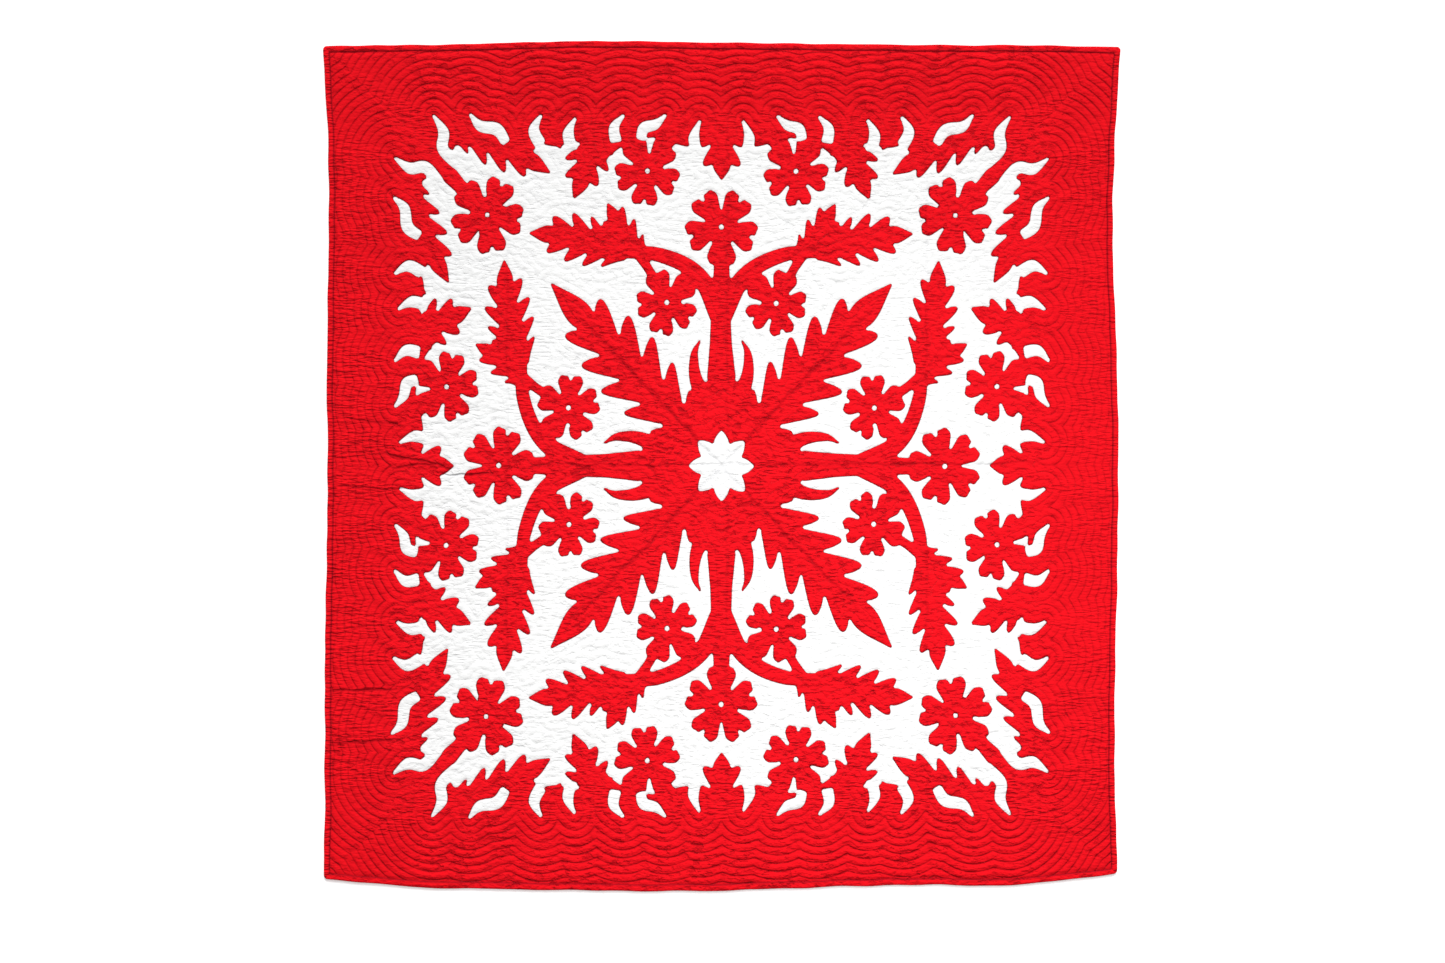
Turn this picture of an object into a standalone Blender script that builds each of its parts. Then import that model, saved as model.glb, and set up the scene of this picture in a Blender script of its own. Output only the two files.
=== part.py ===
"""A red and white cut-work quilt, laid flat with its face up.

The white ground is one filled slab, quilted in rings. Two red cloths are sewn on it: a medallion that was
folded in eighths and cut, and a border whose inner edge is cut into flowers, leaves and tendrils. Four strips
of binding close the edge. Metres, +Z up, +Y towards the quilt's top edge, the origin under the middle.

The pattern is drawn in shares of the half side, from -1 to 1 both ways, and placed() turns shares into
metres.
"""

import math
from typing import NamedTuple

import bmesh
import bpy
import numpy as np
from mathutils import Vector
from mathutils.geometry import delaunay_2d_cdt

# Driving dimensions, in metres
NOMINAL_SIDE = 2.032
WIDTH_OVER_LENGTH = 0.937
GAP = 0.0003
GROUND_TOP = 0.0070
GROUND_GROOVE = 0.0025
CLOTH_EDGE = 0.0010
CLOTH_PUFF = 0.0020
BINDING_WIDTH = 0.016
CORNER_RADIUS = 0.010
SMALLEST_RADIUS = 0.004
ECHO_PITCH = 0.019
GROUND_PITCH = 5 * ECHO_PITCH
BORDER_PITCH = 2 * ECHO_PITCH

HALF_WIDTH = NOMINAL_SIDE * math.sqrt(WIDTH_OVER_LENGTH) / 2
HALF_LENGTH = NOMINAL_SIDE / math.sqrt(WIDTH_OVER_LENGTH) / 2
MEAN_HALF = NOMINAL_SIDE / 2

# How far each edge stands out from a straight one, in millimetres, at nine even places along it.
# Left and right run from the bottom edge to the top edge; top and bottom run from left to right.
EDGE_BOW_MM = {
    "left": (6, 4, 4, 0, -3, -1, -5, -5, 8),
    "right": (3, -3, -3, 2, 5, 2, -8, -5, 11),
    "top": (-4, -1, 5, 8, 5, 1, -2, -2, -6),
    "bottom": (-21, 0, 5, 9, 8, -1, -6, -7, -34),
}

# The white field, in shares of the half side
FIELD_HALF = 0.765
FIELD_WAVES = 9
FIELD_WAVE_DEPTH = 0.010
FIELD_SQUARENESS = 12
STAR_OUTER = 0.084
STAR_INNER = 0.053
HUB_RADIUS = 0.160
EYELET_RADIUS = 0.0062
FIRST_ECHO = 0.862

# Stations along one side of a ring: on the straight run, and on each half corner
STRAIGHT_STATIONS = 13
CORNER_STATIONS = 2
SMALLEST_STEP = 0.0035
SMALLEST_OPENNESS = 0.0022
# Where an outline has its points: across one petal, up one side lobe of a leaf, and along a leaf's end lobe
PETAL_PLACES = (-0.46, -0.38, -0.18, 0.0, 0.18, 0.38, 0.46)
LOBE_PLACES = (0.0, 0.40, 0.68)
TIP_PLACES = (0.0, 0.3, 0.7, 1.0)


class Leaf(NamedTuple):
    """A lobed leaf from its base to its tip; copies is 4 on a fold line and 8 off it."""

    copies: int
    base: tuple
    tip: tuple
    half_width: float
    lobes: int
    bend: float


class Flower(NamedTuple):
    """A five-petalled hibiscus; turn is the angle of one petal's middle, in degrees."""

    copies: int
    centre: tuple
    radius: float
    turn: float


class Ribbon(NamedTuple):
    """A stem, tendril or slit along a smooth line, with its half width at even places along it."""

    copies: int
    line: tuple
    half_widths: tuple


MEDALLION_LEAVES = (
    Leaf(4, (0.06, 0.06), (0.435, 0.435), 0.094, 5, 0.0),
    Leaf(8, (0.24, 0.500), (0.49, 0.550), 0.062, 4, 0.05),
    Leaf(8, (0.19, 0.490), (0.290, 0.625), 0.044, 3, -0.06),
)
BORDER_LEAVES = (
    Leaf(4, (0.0, 0.850), (0.0, 0.675), 0.062, 3, 0.0),
    Leaf(8, (0.322, 0.840), (0.376, 0.630), 0.060, 4, -0.06),
    Leaf(8, (0.690, 0.800), (0.430, 0.690), 0.060, 4, -0.05),
)
MEDALLION_FLOWERS = (
    Flower(4, (0.0, 0.565), 0.094, -90.0),
    Flower(8, (0.138, 0.386), 0.081, 68.0),
)
BORDER_FLOWERS = (
    Flower(8, (0.188, 0.697), 0.086, 60.0),
    Flower(4, (0.594, 0.594), 0.096, 45.0),
)
MEDALLION_STEMS = (
    Ribbon(4, ((0.0, 0.05), (0.0, 0.29), (0.0, 0.51)), (0.052, 0.028, 0.018)),
    Ribbon(8, ((0.0, 0.35), (0.06, 0.452), (0.16, 0.500), (0.27, 0.505)), (0.026, 0.020, 0.017, 0.012)),
    Ribbon(8, ((0.208, 0.505), (0.186, 0.470), (0.158, 0.425)), (0.016, 0.011, 0.012)),
    Ribbon(8, ((0.020, 0.13), (0.062, 0.200), (0.068, 0.262), (0.052, 0.300)), (0.030, 0.017, 0.010, 0.001)),
)
BORDER_STEMS = (
    Ribbon(8, ((0.100, 0.845), (0.12, 0.785), (0.160, 0.740)), (0.030, 0.018, 0.013)),
    Ribbon(4, ((0.86, 0.86), (0.74, 0.74), (0.64, 0.64)), (0.078, 0.028, 0.014)),
    Ribbon(8, ((0.232, 0.82), (0.249, 0.780), (0.285, 0.746), (0.295, 0.722)), (0.028, 0.016, 0.011, 0.001)),
    Ribbon(8, ((0.418, 0.82), (0.428, 0.780), (0.405, 0.748)), (0.028, 0.016, 0.001)),
    Ribbon(8, ((0.502, 0.83), (0.512, 0.785), (0.486, 0.756)), (0.024, 0.015, 0.001)),
    Ribbon(8, ((0.790, 0.690), (0.745, 0.700), (0.700, 0.680)), (0.028, 0.018, 0.001)),
)
SLITS = (
    Ribbon(8, ((0.058, 0.735), (0.070, 0.775), (0.052, 0.822)), (0.012, 0.014, 0.001)),
    Ribbon(8, ((0.205, 0.77), (0.196, 0.797), (0.166, 0.806), (0.135, 0.832)), (0.012, 0.014, 0.012, 0.001)),
    Ribbon(8, ((0.268, 0.765), (0.272, 0.800), (0.242, 0.832)), (0.015, 0.013, 0.001)),
    Ribbon(8, ((0.378, 0.745), (0.388, 0.785), (0.368, 0.826)), (0.014, 0.014, 0.001)),
    Ribbon(8, ((0.458, 0.760), (0.474, 0.795), (0.452, 0.835)), (0.015, 0.014, 0.001)),
    Ribbon(8, ((0.545, 0.765), (0.568, 0.797), (0.612, 0.806), (0.640, 0.838)), (0.012, 0.015, 0.013, 0.001)),
    Ribbon(8, ((0.668, 0.715), (0.708, 0.752), (0.706, 0.792), (0.735, 0.836)), (0.015, 0.014, 0.014, 0.001)),
)


def smooth_table(values, share):
    """Values at even places from -1 to 1, read at share through a cubic that passes each of them."""
    table = np.asarray(values, float)
    padded = np.concatenate([[2 * table[0] - table[1]], table, [2 * table[-1] - table[-2]]])
    place = np.clip((np.asarray(share, float) + 1) / 2, 0, 1) * (len(table) - 1)
    step = np.minimum(place.astype(int), len(table) - 2)
    t = place - step
    a, b, c, d = (padded[step + k] for k in range(4))
    return 0.5 * (2 * b + (c - a) * t + (2 * a - 5 * b + 4 * c - d) * t**2 + (3 * b - a - 3 * c + d) * t**3)


def bowed(points):
    """Shares of the half side as metres, each edge bowed as its table says and the middle left straight."""
    u, v = np.asarray(points, float).T
    side = np.where(u > 0, smooth_table(EDGE_BOW_MM["right"], v), -smooth_table(EDGE_BOW_MM["left"], v))
    end = np.where(v > 0, smooth_table(EDGE_BOW_MM["top"], u), -smooth_table(EDGE_BOW_MM["bottom"], u))
    x = u * HALF_WIDTH + side / 1000 * np.abs(u) ** 3
    y = v * HALF_LENGTH + end / 1000 * np.abs(v) ** 3
    return np.stack([x, y], axis=-1)


def side_stations(inset, last_angle=45.0):
    """The top side of a rounded square inset by a share, from its left corner's middle to its right corner's."""
    half = 1 - inset
    radius = max(CORNER_RADIUS / MEAN_HALF - inset, SMALLEST_RADIUS / MEAN_HALF)
    angles = np.radians([*np.linspace(90.0, 45.0, CORNER_STATIONS + 1)[1:-1], last_angle])
    corner = half - radius
    straight = np.linspace(-corner, corner, STRAIGHT_STATIONS)
    right = np.stack([corner + radius * np.cos(angles), corner + radius * np.sin(angles)], axis=-1)
    left = right[::-1] * [-1, 1]
    return np.vstack([left, np.stack([straight, np.full_like(straight, half)], axis=-1), right])


def quarter_turns(points):
    """The points turned to each of the four sides."""
    x, y = np.asarray(points, float).T
    return [np.stack(pair, axis=-1) for pair in ((x, y), (y, -x), (-x, -y), (-y, x))]


def ring(inset):
    """A closed loop parallel to the quilt's edge, inset by a share of the half side."""
    side = side_stations(inset)
    return np.vstack([turned[:-1] for turned in quarter_turns(side)])


def placed(points):
    """Metres on the surface, with the middle of the bowed outline's box at the origin."""
    edge = bowed(ring(0.0))
    return bowed(points) - (edge.min(axis=0) + edge.max(axis=0)) / 2


def smooth_line(points, steps=3):
    """A line through the points, rounded by a cubic, with that many steps between each two."""
    p = np.asarray(points, float)
    q = np.vstack([2 * p[0] - p[1], p, 2 * p[-1] - p[-2]])
    t = (np.arange(steps) / steps)[:, None, None]
    a, b, c, d = q[:-3], q[1:-2], q[2:-1], q[3:]
    line = 0.5 * (2 * b + (c - a) * t + (2 * a - 5 * b + 4 * c - d) * t**2 + (3 * b - a - 3 * c + d) * t**3)
    return np.vstack([line.transpose(1, 0, 2).reshape(-1, 2), p[-1]])


def ribbon_outline(ribbon):
    """The two sides of a ribbon, joined at its ends."""
    line = smooth_line(ribbon.line)
    knots = np.linspace(0, 1, len(ribbon.half_widths))
    half = np.interp(np.linspace(0, 1, len(line)), knots, ribbon.half_widths)[:, None]
    along = np.gradient(line, axis=0)
    along /= np.linalg.norm(along, axis=1)[:, None]
    across = np.stack([-along[:, 1], along[:, 0]], axis=-1)
    return np.vstack([line + across * half, (line - across * half)[::-1]])


def leaf_points(leaf, along, across):
    """Points of a leaf from their shares along its rib and their distance across it."""
    base, tip = np.array(leaf.base), np.array(leaf.tip)
    rib = tip - base
    side = np.array([-rib[1], rib[0]])
    bow = leaf.bend * 4 * along * (1 - along)
    across = across / np.linalg.norm(rib)
    return base + np.outer(along, rib) + np.outer(bow + across, side)


def leaf_outline(leaf, notch=0.38, crown=0.74, lean=0.60):
    """Side lobes that lean towards the tip, each a swell from its notch and back, then a pointed end lobe."""
    lobe = np.repeat(np.arange(leaf.lobes), len(LOBE_PLACES))
    within = np.tile(LOBE_PLACES, leaf.lobes)
    swell = np.sin(np.pi * within**1.45) ** 0.85
    place = (lobe + within) / leaf.lobes
    envelope = np.sin(np.pi * (0.17 + 0.66 * place)) ** 0.8
    lobes_along = crown * (place + lean * swell / leaf.lobes)
    lobes_across = envelope * (notch + (1 - notch) * swell)
    end = np.array(TIP_PLACES)
    end_along = crown + (1 - crown) * end
    end_across = notch * envelope[-1] * (1 - end) ** 0.7 * (1 + 0.9 * np.sin(np.pi * end**0.8))
    along = np.concatenate([lobes_along, end_along])
    across = np.concatenate([lobes_across, end_across]) * leaf.half_width
    left = leaf_points(leaf, along, across)
    right = leaf_points(leaf, along, -across)
    return np.vstack([left, right[::-1][1:]])


def flower_outline(flower):
    """Petals as a radius over the angle: rounded, ruffled, deeply parted and each split a little."""
    petal = np.tile(PETAL_PLACES, 5)
    angle = (np.repeat(np.arange(5), len(PETAL_PLACES)) + petal) * 2 * np.pi / 5
    parted = np.exp(-(((0.5 - np.abs(petal)) / 0.085) ** 4))
    split = np.exp(-((petal / 0.050) ** 2))
    ruffled = 0.87 + 0.11 * np.cos(np.pi * petal) + 0.035 * np.cos(8 * np.pi * petal)
    radius = flower.radius * (ruffled - 0.50 * parted - 0.30 * split)
    turned = angle + math.radians(flower.turn)
    return np.array(flower.centre) + radius[:, None] * np.stack([np.cos(turned), np.sin(turned)], axis=-1)


def circle(centre, radius, sides):
    """A regular polygon."""
    angle = np.arange(sides) * 2 * np.pi / sides
    return np.array(centre) + radius * np.stack([np.cos(angle), np.sin(angle)], axis=-1)


def star_outline(points=8):
    """The white star in the middle: rounded points between eight notches."""
    angle = np.arange(4 * points) * 2 * np.pi / (4 * points)
    tip = np.abs((angle * points / (2 * np.pi)) % 1 - 0.5) * 2
    radius = STAR_INNER + (STAR_OUTER - STAR_INNER) * tip**0.9
    return radius[:, None] * np.stack([np.cos(angle), np.sin(angle)], axis=-1)


def field_outline(count=144):
    """The white field: a rounded square whose edge waves in and out."""
    angle = np.arange(count) * 2 * np.pi / count
    c, s = np.cos(angle), np.sin(angle)
    square = (np.abs(c) ** FIELD_SQUARENESS + np.abs(s) ** FIELD_SQUARENESS) ** (-1 / FIELD_SQUARENESS)
    place = np.minimum(np.abs(c), np.abs(s)) * square
    radius = square * (FIELD_HALF + FIELD_WAVE_DEPTH * np.cos(2 * np.pi * FIELD_WAVES * place / 2))
    return radius[:, None] * np.stack([c, s], axis=-1)


def anticlockwise(outline):
    """The outline, turned round if it runs clockwise."""
    x, y = outline.T
    return outline if np.sum(x * np.roll(y, -1) - y * np.roll(x, -1)) > 0 else outline[::-1]


def copies(outline, count):
    """The outline as a folded cloth repeats it: four quarter turns, and for 8 copies their mirror images."""
    made = quarter_turns(outline)
    return made if count == 4 else made + quarter_turns(outline[::-1] * [-1, 1])


def repeated(rows, outline_of):
    """Every copy of every row's outline."""
    return [copy for row in rows for copy in copies(outline_of(row), row.copies)]


def crown_points():
    """Places inside the leaves and petals where the filling stands highest."""
    shares = np.array([0.22, 0.46, 0.72])
    points = repeated(MEDALLION_LEAVES + BORDER_LEAVES, lambda leaf: leaf_points(leaf, shares, shares * 0))
    points += repeated(
        MEDALLION_FLOWERS + BORDER_FLOWERS, lambda flower: circle(flower.centre, flower.radius * 0.36, 5)
    )
    return np.vstack(points)


def triangulated(points, edges=(), faces=(), kind=0):
    """A constrained Delaunay triangulation of flat points."""
    return delaunay_2d_cdt([Vector(p) for p in points], list(edges), list(faces), kind, 1e-7)


def inside(points, loops):
    """True for the points that an odd number of the loops goes round."""
    x, y = points[:, 0][:, None], points[:, 1][:, None]
    crossings = np.zeros(len(points), int)
    for loop in loops:
        x0, y0 = loop.T
        x1, y1 = np.roll(loop, -1, axis=0).T
        spans = (y0 > y) != (y1 > y)
        rise = np.where(y1 == y0, 1.0, y1 - y0)
        crossings += (spans & (x < (x1 - x0) * (y - y0) / rise + x0)).sum(axis=1)
    return crossings % 2 == 1


def cloth_regions():
    """The red cloth as flat faces, one list of triangles for each connected cloth, over shared points."""
    red = repeated(MEDALLION_LEAVES + BORDER_LEAVES, leaf_outline)
    red += repeated(MEDALLION_FLOWERS + BORDER_FLOWERS, flower_outline)
    red += repeated(MEDALLION_STEMS + BORDER_STEMS, ribbon_outline)
    red += [circle((0, 0), HUB_RADIUS, 32)]
    eyelets = repeated(MEDALLION_FLOWERS + BORDER_FLOWERS, lambda f: circle(f.centre, EYELET_RADIUS, 6))
    white = repeated(SLITS, ribbon_outline) + eyelets + [star_outline()]
    edge = ring((BINDING_WIDTH + GAP) / MEAN_HALF)
    outlines = [anticlockwise(outline) for outline in [edge, field_outline()] + red + white]
    starts = np.cumsum([0] + [len(o) for o in outlines])
    faces = [list(range(a, b)) for a, b in zip(starts[:-1], starts[1:])]
    points, _, triangles, _, _, sources = triangulated(np.vstack(outlines), faces=faces, kind=1)
    first_white = 2 + len(red)
    kept = []
    for triangle, source in zip(triangles, sources):
        covers = set(source)
        is_red = 1 not in covers or any(2 <= k < first_white for k in covers)
        if 0 in covers and is_red and not any(k >= first_white for k in covers):
            kept.append(tuple(triangle))
    return np.array([tuple(p) for p in points]), connected(kept)


def connected(triangles):
    """Triangles grouped by shared edges, the largest group first."""
    leader = list(range(len(triangles)))

    def root(k):
        while leader[k] != k:
            leader[k] = leader[leader[k]]
            k = leader[k]
        return k

    seen = {}
    for k, t in enumerate(triangles):
        for a, b in ((t[0], t[1]), (t[1], t[2]), (t[2], t[0])):
            other = seen.setdefault((min(a, b), max(a, b)), k)
            leader[root(k)] = root(other)
    groups = {}
    for k, t in enumerate(triangles):
        groups.setdefault(root(k), []).append(t)
    return sorted(groups.values(), key=len, reverse=True)


def boundary_loops(points, triangles):
    """The closed loops round a group of triangles, thinned of steps that are too short to see."""
    directed = {(t[k], t[(k + 1) % 3]) for t in triangles for k in range(3)}
    following = {a: b for a, b in directed if (b, a) not in directed}
    loops = []
    while following:
        start, here = following.popitem()
        loop = [start]
        while here != start:
            loop.append(here)
            here = following.pop(here)
        loops.append(thinned(points[loop]))
    return [loop for loop in loops if len(loop) > 2 and openness(loop) > SMALLEST_OPENNESS]


def openness(loop):
    """The area inside a loop over its length: small for a chink and large for an opening."""
    x, y = loop.T
    area = abs(np.sum(x * np.roll(y, -1) - y * np.roll(x, -1))) / 2
    return area / np.linalg.norm(loop - np.roll(loop, -1, axis=0), axis=1).sum()


def thinned(loop):
    """A loop without the points that hardly stand out of it, but with all those near the quilt's edge."""
    kept = [loop[0]]
    for here, after in zip(loop[1:], np.vstack([loop[2:], loop[:1]])):
        before = kept[-1]
        step = np.linalg.norm(here - before)
        chord = after - before
        twice_area = abs(chord[0] * (here - before)[1] - chord[1] * (here - before)[0])
        off = twice_area / (np.linalg.norm(chord) + 1e-12)
        if max(abs(here)) > 0.95 or (step > SMALLEST_STEP and off > SMALLEST_STEP / 4):
            kept.append(here)
    return np.array(kept)


def echo_rings():
    """Ridges and grooves of the border's quilting: loops from the pattern's tips out to the binding."""
    last = 1 - (BINDING_WIDTH + ECHO_PITCH / 2) / MEAN_HALF
    count = 2 * round((last - FIRST_ECHO) * MEAN_HALF / BORDER_PITCH) + 1
    rings = []
    for k, half in enumerate(np.linspace(FIRST_ECHO, last, count)):
        loop = ring(1 - half)
        fade = (last - half) / (last - FIRST_ECHO)
        wave = np.cos(2 * np.pi * FIELD_WAVES * np.min(np.abs(loop), axis=1) / 2)
        corner = 1 - 0.05 * fade * (np.min(np.abs(loop), axis=1) / half) ** 6
        rings.append((loop * (corner + 0.006 * fade * wave)[:, None], k % 2 == 0))
    return rings


def mesh_object(name, points, faces, material):
    """A named object with its faces' normals made to point out."""
    mesh = bpy.data.meshes.new(name)
    mesh.from_pydata([tuple(p) for p in points], [], [tuple(f) for f in faces])
    shape = bmesh.new()
    shape.from_mesh(mesh)
    bmesh.ops.recalc_face_normals(shape, faces=shape.faces)
    bmesh.ops.triangulate(shape, faces=[f for f in shape.faces if len(f.verts) > 4])
    shape.to_mesh(mesh)
    shape.free()
    mesh.materials.append(material)
    made = bpy.data.objects.new(name, mesh)
    bpy.context.scene.collection.objects.link(made)
    return made


def sewn_cloth(name, loops, ridges, material):
    """A red cloth on the ground: flat below, its cut edge one cloth high, its inside raised on the ridges.

    ridges is a list of (points, height over the cut edge, closed), and only points inside the cloth are used.
    """
    low = GROUND_TOP + GAP
    flat = np.vstack(loops)
    starts = np.cumsum([0] + [len(loop) for loop in loops])
    edges = [(a + k, a + (k + 1) % (b - a)) for a, b in zip(starts[:-1], starts[1:]) for k in range(b - a)]
    top_points, top_heights, top_edges = [flat], [np.full(len(flat), low + CLOTH_EDGE)], list(edges)
    count = len(flat)
    for points, height, closed in ridges:
        kept = points if closed else points[inside(points, loops)]
        if closed:
            top_edges += [(count + k, count + (k + 1) % len(kept)) for k in range(len(kept))]
        top_points.append(kept)
        top_heights.append(np.full(len(kept), low + CLOTH_EDGE + height))
        count += len(kept)
    top = clipped(np.vstack(top_points), top_edges, loops)
    bottom = clipped(flat, edges, loops)
    heights = np.concatenate(top_heights)
    metres = placed(np.vstack(top_points + [flat]))
    solid = np.column_stack([metres, np.concatenate([heights, np.full(len(flat), low)])])
    walls = [(a, b, count + b, count + a) for a, b in edges]
    faces = top + [tuple(count + k for k in face[::-1]) for face in bottom] + walls
    return mesh_object(name, solid, faces, material)


def clipped(points, edges, loops):
    """The triangles between the points that lie inside the loops, with the points' own numbers."""
    made, _, triangles, origin, _, _ = triangulated(points, edges=edges)
    if len(made) != len(points):
        raise ValueError("two outlines of a cloth cross")
    middles = np.array([[tuple(made[k]) for k in t] for t in triangles]).mean(axis=1)
    number = [source[0] for source in origin]
    return [tuple(number[k] for k in t) for t, kept in zip(triangles, inside(middles, loops)) if kept]


def ground(material):
    """The filled white slab: a flat back, a thin rim inside the binding, and a face quilted in rings."""
    rim_low, rim_high, rim_reach = 0.0028, 0.0052, 0.0020
    inner = BINDING_WIDTH + GAP
    section = ((inner, 0.0), (inner, rim_low), (rim_reach, rim_low), (rim_reach, rim_high), (inner, rim_high))
    loops = [
        np.column_stack([placed(ring(inset / MEAN_HALF)), ring(0)[:, :1] * 0 + z]) for inset, z in section
    ]
    loops.append(np.column_stack([loops[0][:, :2], loops[0][:, 2:] + GROUND_TOP]))
    square = ring(0)
    reach = np.linalg.norm(square, axis=1)
    direction = square / reach[:, None]
    angle = np.arctan2(square[:, 1], square[:, 0])
    count = round(FIELD_HALF * MEAN_HALF / (GROUND_PITCH / 2))
    for k, size in enumerate(np.linspace(1.05 * FIELD_HALF, 0.05, count)):
        squareness = (size / FIELD_HALF) ** 2
        radius = size * ((1 - squareness) * (1 + 0.07 * np.cos(8 * angle)) + squareness * reach)
        height = GROUND_TOP - GROUND_GROOVE * (k % 2)
        loops.append(np.column_stack([placed(direction * radius[:, None]), angle * 0 + height]))
    side = len(square)
    points = np.vstack(loops)
    faces = [
        (k * side + j, k * side + (j + 1) % side, (k + 1) * side + (j + 1) % side, (k + 1) * side + j)
        for k in range(len(loops) - 1)
        for j in range(side)
    ]
    faces.append(tuple(range(side)))
    faces.append(tuple(range(len(points) - side, len(points))))
    return mesh_object("ground", points, faces, material)


def binding(name, turn, material):
    """One side's folded strip: a rounded fold outside, and a flap over and under the quilt's rim."""
    section_mm = (
        (16.0, 0.0), (2.2, 0.0), (0.0, 3.0), (0.4, 6.4), (2.6, 8.2), (15.0, 8.6),
        (16.0, 7.8), (16.0, 5.5), (1.7, 5.5), (1.7, 2.5), (16.0, 2.5),
    )
    last_angle = 48.0
    rows = []
    for inset_mm, z_mm in section_mm:
        side = side_stations(inset_mm / 1000 / MEAN_HALF, last_angle)
        metres = placed(quarter_turns(side)[turn])
        rows.append(np.column_stack([metres, np.full(len(metres), z_mm / 1000)]))
    stations, corners = len(rows[0]), len(rows)
    points = np.array(rows).transpose(1, 0, 2).reshape(-1, 3)
    faces = []
    for k in range(stations - 1):
        here, after = k * corners, (k + 1) * corners
        for j in range(corners):
            beside = (j + 1) % corners
            faces.append((here + j, here + beside, after + beside, after + j))
    faces.append(tuple(range(corners)))
    faces.append(tuple(range(len(points) - corners, len(points))))
    return mesh_object(name, points, faces, material)


def cotton(name, colour, roughness):
    """Plain woven cotton of one colour."""
    material = bpy.data.materials.new(name)
    material.use_nodes = True
    shader = material.node_tree.nodes["Principled BSDF"]
    shader.inputs["Base Color"].default_value = (*colour, 1)
    shader.inputs["Roughness"].default_value = roughness
    shader.inputs["Metallic"].default_value = 0
    return material


def main():
    """Clears the scene and builds the seven pieces."""
    for thing in list(bpy.data.objects):
        bpy.data.objects.remove(thing)
    red = cotton("red_cotton", (0.78, 0.010, 0.016), 0.85)
    white = cotton("white_cotton", (0.86, 0.86, 0.85), 0.85)
    ground(white)
    points, groups = cloth_regions()
    border_loops, medallion_loops = (boundary_loops(points, group) for group in groups[:2])
    crowns = [(crown_points(), CLOTH_PUFF, False)]
    echoes = [(loop, CLOTH_PUFF if raised else 0.0, True) for loop, raised in echo_rings()]
    sewn_cloth("border_cloth", border_loops, echoes + crowns, red)
    sewn_cloth("medallion_cloth", medallion_loops, crowns, red)
    for turn, side in enumerate(("top", "right", "bottom", "left")):
        binding(f"binding_{side}", turn, red)


if __name__ == "__main__":
    main()
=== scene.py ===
"""A red and white cut-work quilt, laid flat and face up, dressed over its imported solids.

The pattern is drawn in shares of the half side, u across and v up, each from -1 to 1, and Outline turns shares
into metres. It is the same in all eight folds, so its distances are worked out on one quarter and looked up by
the shares' sizes. Every cloth is a height over u and v, trimmed by the pattern.
"""

import logging
import math
from dataclasses import dataclass, field
from enum import Enum

import bpy
import numpy as np
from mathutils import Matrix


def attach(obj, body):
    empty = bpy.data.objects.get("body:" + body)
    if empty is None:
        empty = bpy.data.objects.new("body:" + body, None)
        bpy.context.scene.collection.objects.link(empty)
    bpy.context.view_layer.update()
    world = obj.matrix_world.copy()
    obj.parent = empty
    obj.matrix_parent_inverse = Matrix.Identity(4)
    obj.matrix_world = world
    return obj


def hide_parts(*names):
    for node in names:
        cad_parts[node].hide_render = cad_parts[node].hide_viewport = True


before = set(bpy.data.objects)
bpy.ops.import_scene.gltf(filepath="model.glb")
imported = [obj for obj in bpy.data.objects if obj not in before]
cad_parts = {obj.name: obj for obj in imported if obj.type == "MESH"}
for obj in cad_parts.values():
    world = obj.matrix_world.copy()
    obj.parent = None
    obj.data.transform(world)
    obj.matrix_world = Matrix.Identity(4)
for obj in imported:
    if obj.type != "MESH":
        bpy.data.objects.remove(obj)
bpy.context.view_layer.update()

LOG = logging.getLogger("quilt")
MM = 0.001
BODY = "root"


class Side(Enum):
    """The quilt's four sides, by how many quarter turns clockwise each is from the top one."""

    TOP = 0
    RIGHT = 1
    BOTTOM = 2
    LEFT = 3


@dataclass(frozen=True)
class Leaf:
    """A lobed leaf from base to tip; copies is 4 on a fold line and 8 off it."""

    copies: int
    base: tuple[float, float]
    tip: tuple[float, float]
    half_width: float
    lobes: int
    bend: float


@dataclass(frozen=True)
class Flower:
    """A five-petalled hibiscus; turn is the angle of one petal's middle, in degrees."""

    copies: int
    centre: tuple[float, float]
    radius: float
    turn: float


@dataclass(frozen=True)
class Ribbon:
    """A stem, tendril or slit along a smooth line, with its half width at even places along it."""

    copies: int
    line: tuple[tuple[float, float], ...]
    half_widths: tuple[float, ...]


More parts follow.
